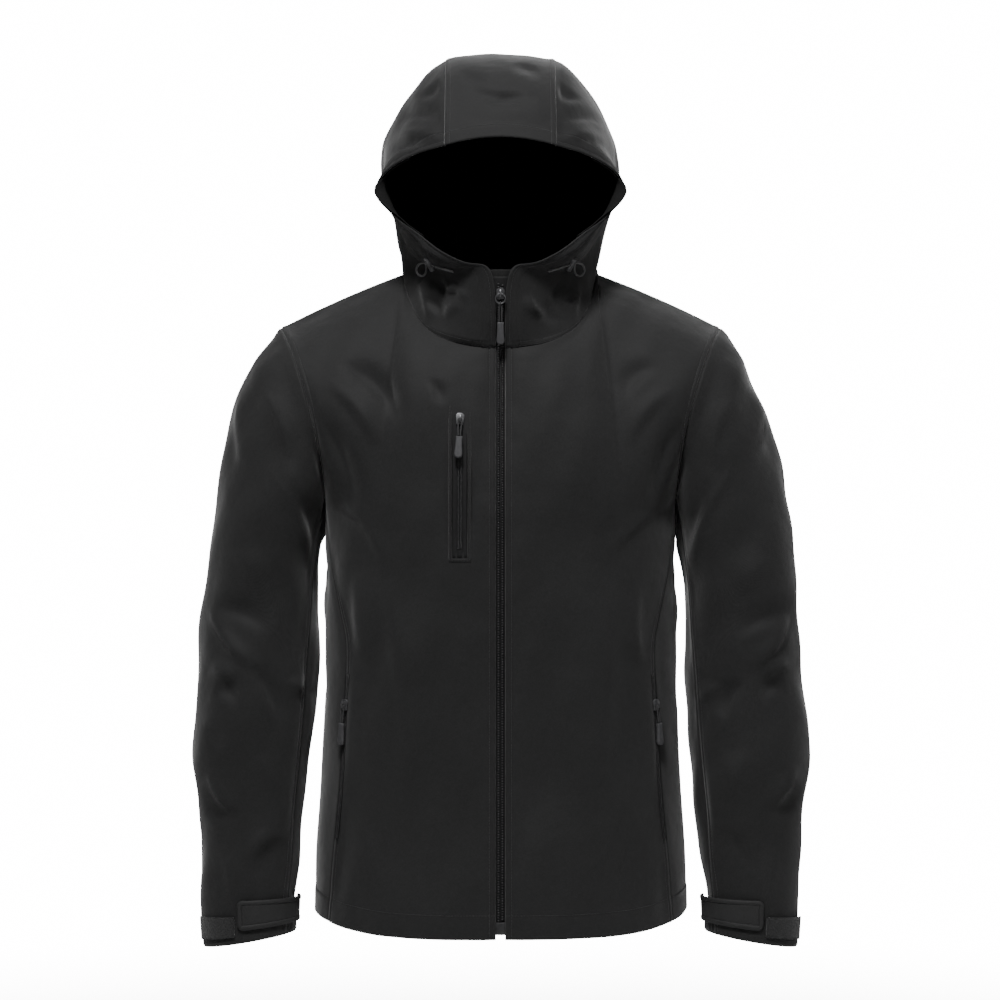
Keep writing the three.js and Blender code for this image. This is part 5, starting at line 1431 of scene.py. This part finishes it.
def cuff_patch(name, strap, side, relief, cloth, slot, columns, rows, radius):
    """A strap or patch on the cuff's face, with a radius at its ends. relief is its height over its shape."""
    station, at = np.meshgrid(mix(strap["from"], strap["to"], columns), rows)
    middle = (strap["low"] + strap["high"]) / 2
    points = sleeve_point(station, mix(middle, strap["high"], at))
    run, back = arc_lengths(points, 1)
    tall = np.linalg.norm(points[-1] - points[0], axis=-1)[None, :]
    end = run if strap is CUFF_TAB else np.minimum(run, back)
    cut = np.where(end < radius, radius - np.sqrt(np.maximum(radius ** 2 - (radius - end) ** 2, 0)), 0)
    points = sleeve_point(station, mix(middle, strap["high"], at * (1 - 2 * cut / tall)))
    normal = np.cross(np.gradient(points, axis=1), np.gradient(points, axis=0))
    normal /= np.linalg.norm(normal, axis=-1, keepdims=True)
    centre = [272, -38, points[..., 2].mean()]
    normal *= np.sign(np.sum(normal * (points - centre), axis=-1).mean())
    edge = np.minimum(np.minimum(run, back), (1 - np.abs(at)) * tall / 2)
    points = points + normal * (strap["lift"] + relief(edge))[..., None]
    flat = np.stack([run, at * tall / 2], -1) * MM
    piece = grid_piece(name, points * [side, 1, 1], flat, turned=side < 0)
    give_wall(piece, 1.3)
    trim(piece, cloth, slot, name)


def tab_relief(edge):
    return 0.9 * smoothstep(edge, 0, 0.8) * (1 - smoothstep(edge, 3.1, 3.9)) + 0.25 * smoothstep(edge, 4.2, 6)


def pile_with_painted_gap_shade():
    """Loop pile: close small tufts, each lighter at its middle and darker towards the gaps between them,
    which is painted shade.
    """
    tree, takes, out = effect(
        "loop pile", {"Place": (0, 0, 0), "Dark": (0, 0, 0, 1), "Light": (0.1, 0.1, 0.1, 1)})
    tufts = add(tree, "TexVoronoi", {"Vector": on_object(tree), "Scale": 900.0}).outputs["Distance"]
    # Painted shade: the tone falls from each tuft's middle to the gaps between tufts, as the height does.
    return give_out(tree, takes, out, sums(tree, "SUBTRACT", 1.0, tufts),
                    sums(tree, "MULTIPLY_ADD", tufts, 0.1, 0.85), sums(tree, "MULTIPLY", tufts, -1.0))


loop_pile_with_painted_shade = finish(
    "loop pile", pile_with_painted_gap_shade(), {"Dark": (0.004, 0.004, 0.004, 1), "Light": (0.022, 0.022, 0.023, 1)}, 0.0005,
    Sheen_Weight=0.3)
tab_cloth = finish(
    "tab cloth", SOFTSHELL,
    {"Dark": (0.01, 0.01, 0.0102, 1), "Light": (0.032, 0.032, 0.0325, 1), "Crumple": 0.15, "Rough": 0.66},
    0.001, place="cloth", Specular_IOR_Level=0.4)
for side in (1, -1):
    name = show_side(side)
    columns = spread(70, 100, (0, 0.4, 0.8, 1.6, 2.4, 3.1, 3.5, 3.9, 4.4, 5.2, 6))
    rows = 2 * spread(20, 26, (0, 0.4, 0.8, 1.6, 2.4, 3.1, 3.5, 3.9, 4.4, 5.2)) - 1
    cuff_patch("cuff_tab_" + name, CUFF_TAB, side, tab_relief, tab_cloth, "shell", columns, rows, 6.0)
    columns = spread(40, 42, (0, 0.5, 1, 1.6, 2.2, 3))
    rows = 2 * spread(16, 20, (0, 0.5, 1, 1.6, 2.2, 3)) - 1
    cuff_patch("cuff_patch_" + name, CUFF_PATCH, side,
               lambda edge: 0.5 * smoothstep(edge, 1.2, 2.0) + 0.15, loop_pile_with_painted_shade, "loop_patch", columns, rows, 1.5)

stitch = bmesh.new()
bmesh.ops.create_uvsphere(stitch, u_segments=5, v_segments=4, radius=1)
for vert in stitch.verts:
    vert.co.z = math.copysign(math.sqrt(abs(vert.co.z)), vert.co.z)
trim(copies("stitches", stitch, stitches), thread_black, "shell")


# Studio: a pale floor that runs out to white, a room that is white to the eye and lights the jacket
# softly from above, a soft light over the camera, a weak one at its right and one from behind.
FLOOR_HEIGHT = -1.1
WHITE_SEEN = 16.0
FLOOR_LIGHT = 0.05
ROOM_LIGHT_LOW = 0.015
ROOM_LIGHT_HIGH = 0.13
floor_form = bmesh.new()
bmesh.ops.create_circle(floor_form, cap_ends=True, segments=96, radius=14)
bmesh.ops.translate(floor_form, verts=floor_form.verts, vec=(0, 0, FLOOR_HEIGHT))
floor = show("floor", floor_form)
pale = bpy.data.materials.new("pale floor")
pale.use_nodes = True
tree = pale.node_tree
bsdf = tree.nodes["Principled BSDF"]
bsdf.inputs["Base Color"].default_value = (0.9, 0.9, 0.9, 1)
bsdf.inputs["Roughness"].default_value = 0.9
away = add(tree, "VectorMath", {0: on_object(tree), 1: (1, 1, 0)}, operation="MULTIPLY")
distance = add(tree, "VectorMath", {0: away.outputs[0]}, operation="LENGTH").outputs["Value"]
fade = add(tree, "MapRange", {"Value": distance, "From Min": 0.9, "From Max": 2.6, "To Min": 0.1},
           interpolation_type="SMOOTHSTEP")
seen = add(tree, "LightPath").outputs["Is Camera Ray"]
strength = add(tree, "MapRange", {"Value": seen, "To Min": FLOOR_LIGHT, "To Max": WHITE_SEEN}).outputs[0]
glow = add(tree, "Emission", {"Color": (1, 1, 1, 1), "Strength": strength})
blend = add(tree, "MixShader", {0: fade.outputs[0], 1: bsdf.outputs[0], 2: glow.outputs[0]})
tree.links.new(blend.outputs[0], tree.nodes["Material Output"].inputs["Surface"])
floor.data.materials.append(pale)
world = bpy.data.worlds.new("studio")
world.use_nodes = True
tree = world.node_tree
tree.nodes["Background"].inputs["Color"].default_value = (1, 1, 1, 1)
up = add(tree, "SeparateXYZ", {0: add(tree, "TexCoord").outputs["Generated"]}).outputs[2]
room = add(tree, "MapRange", {"Value": up, "From Min": -0.5, "From Max": 1.0, "To Min": ROOM_LIGHT_LOW,
                              "To Max": ROOM_LIGHT_HIGH}).outputs[0]
seen = add(tree, "LightPath").outputs["Is Camera Ray"]
strength = add(tree, "Mix", {0: seen, 2: room, 3: WHITE_SEEN}).outputs[0]
tree.links.new(strength, tree.nodes["Background"].inputs["Strength"])
bpy.context.scene.world = world


def soft_light(name, spot, aim, size, energy):
    data = bpy.data.lights.new(name, "AREA")
    data.shape = "DISK"
    data.size = size
    data.energy = energy
    light = link(name, data)
    light.location = spot
    light.rotation_euler = (Vector(aim) - Vector(spot)).to_track_quat("-Z", "Y").to_euler()


soft_light("key", (-0.35, -1.9, 2.9), (0, 0, -0.1), 0.9, 135)
soft_light("fill", (2.4, -2.2, 1.2), (0, 0, -0.3), 2.0, 10)
soft_light("back light", (0.5, 2.6, 2.2), (0, 0, -0.2), 2.0, 70)
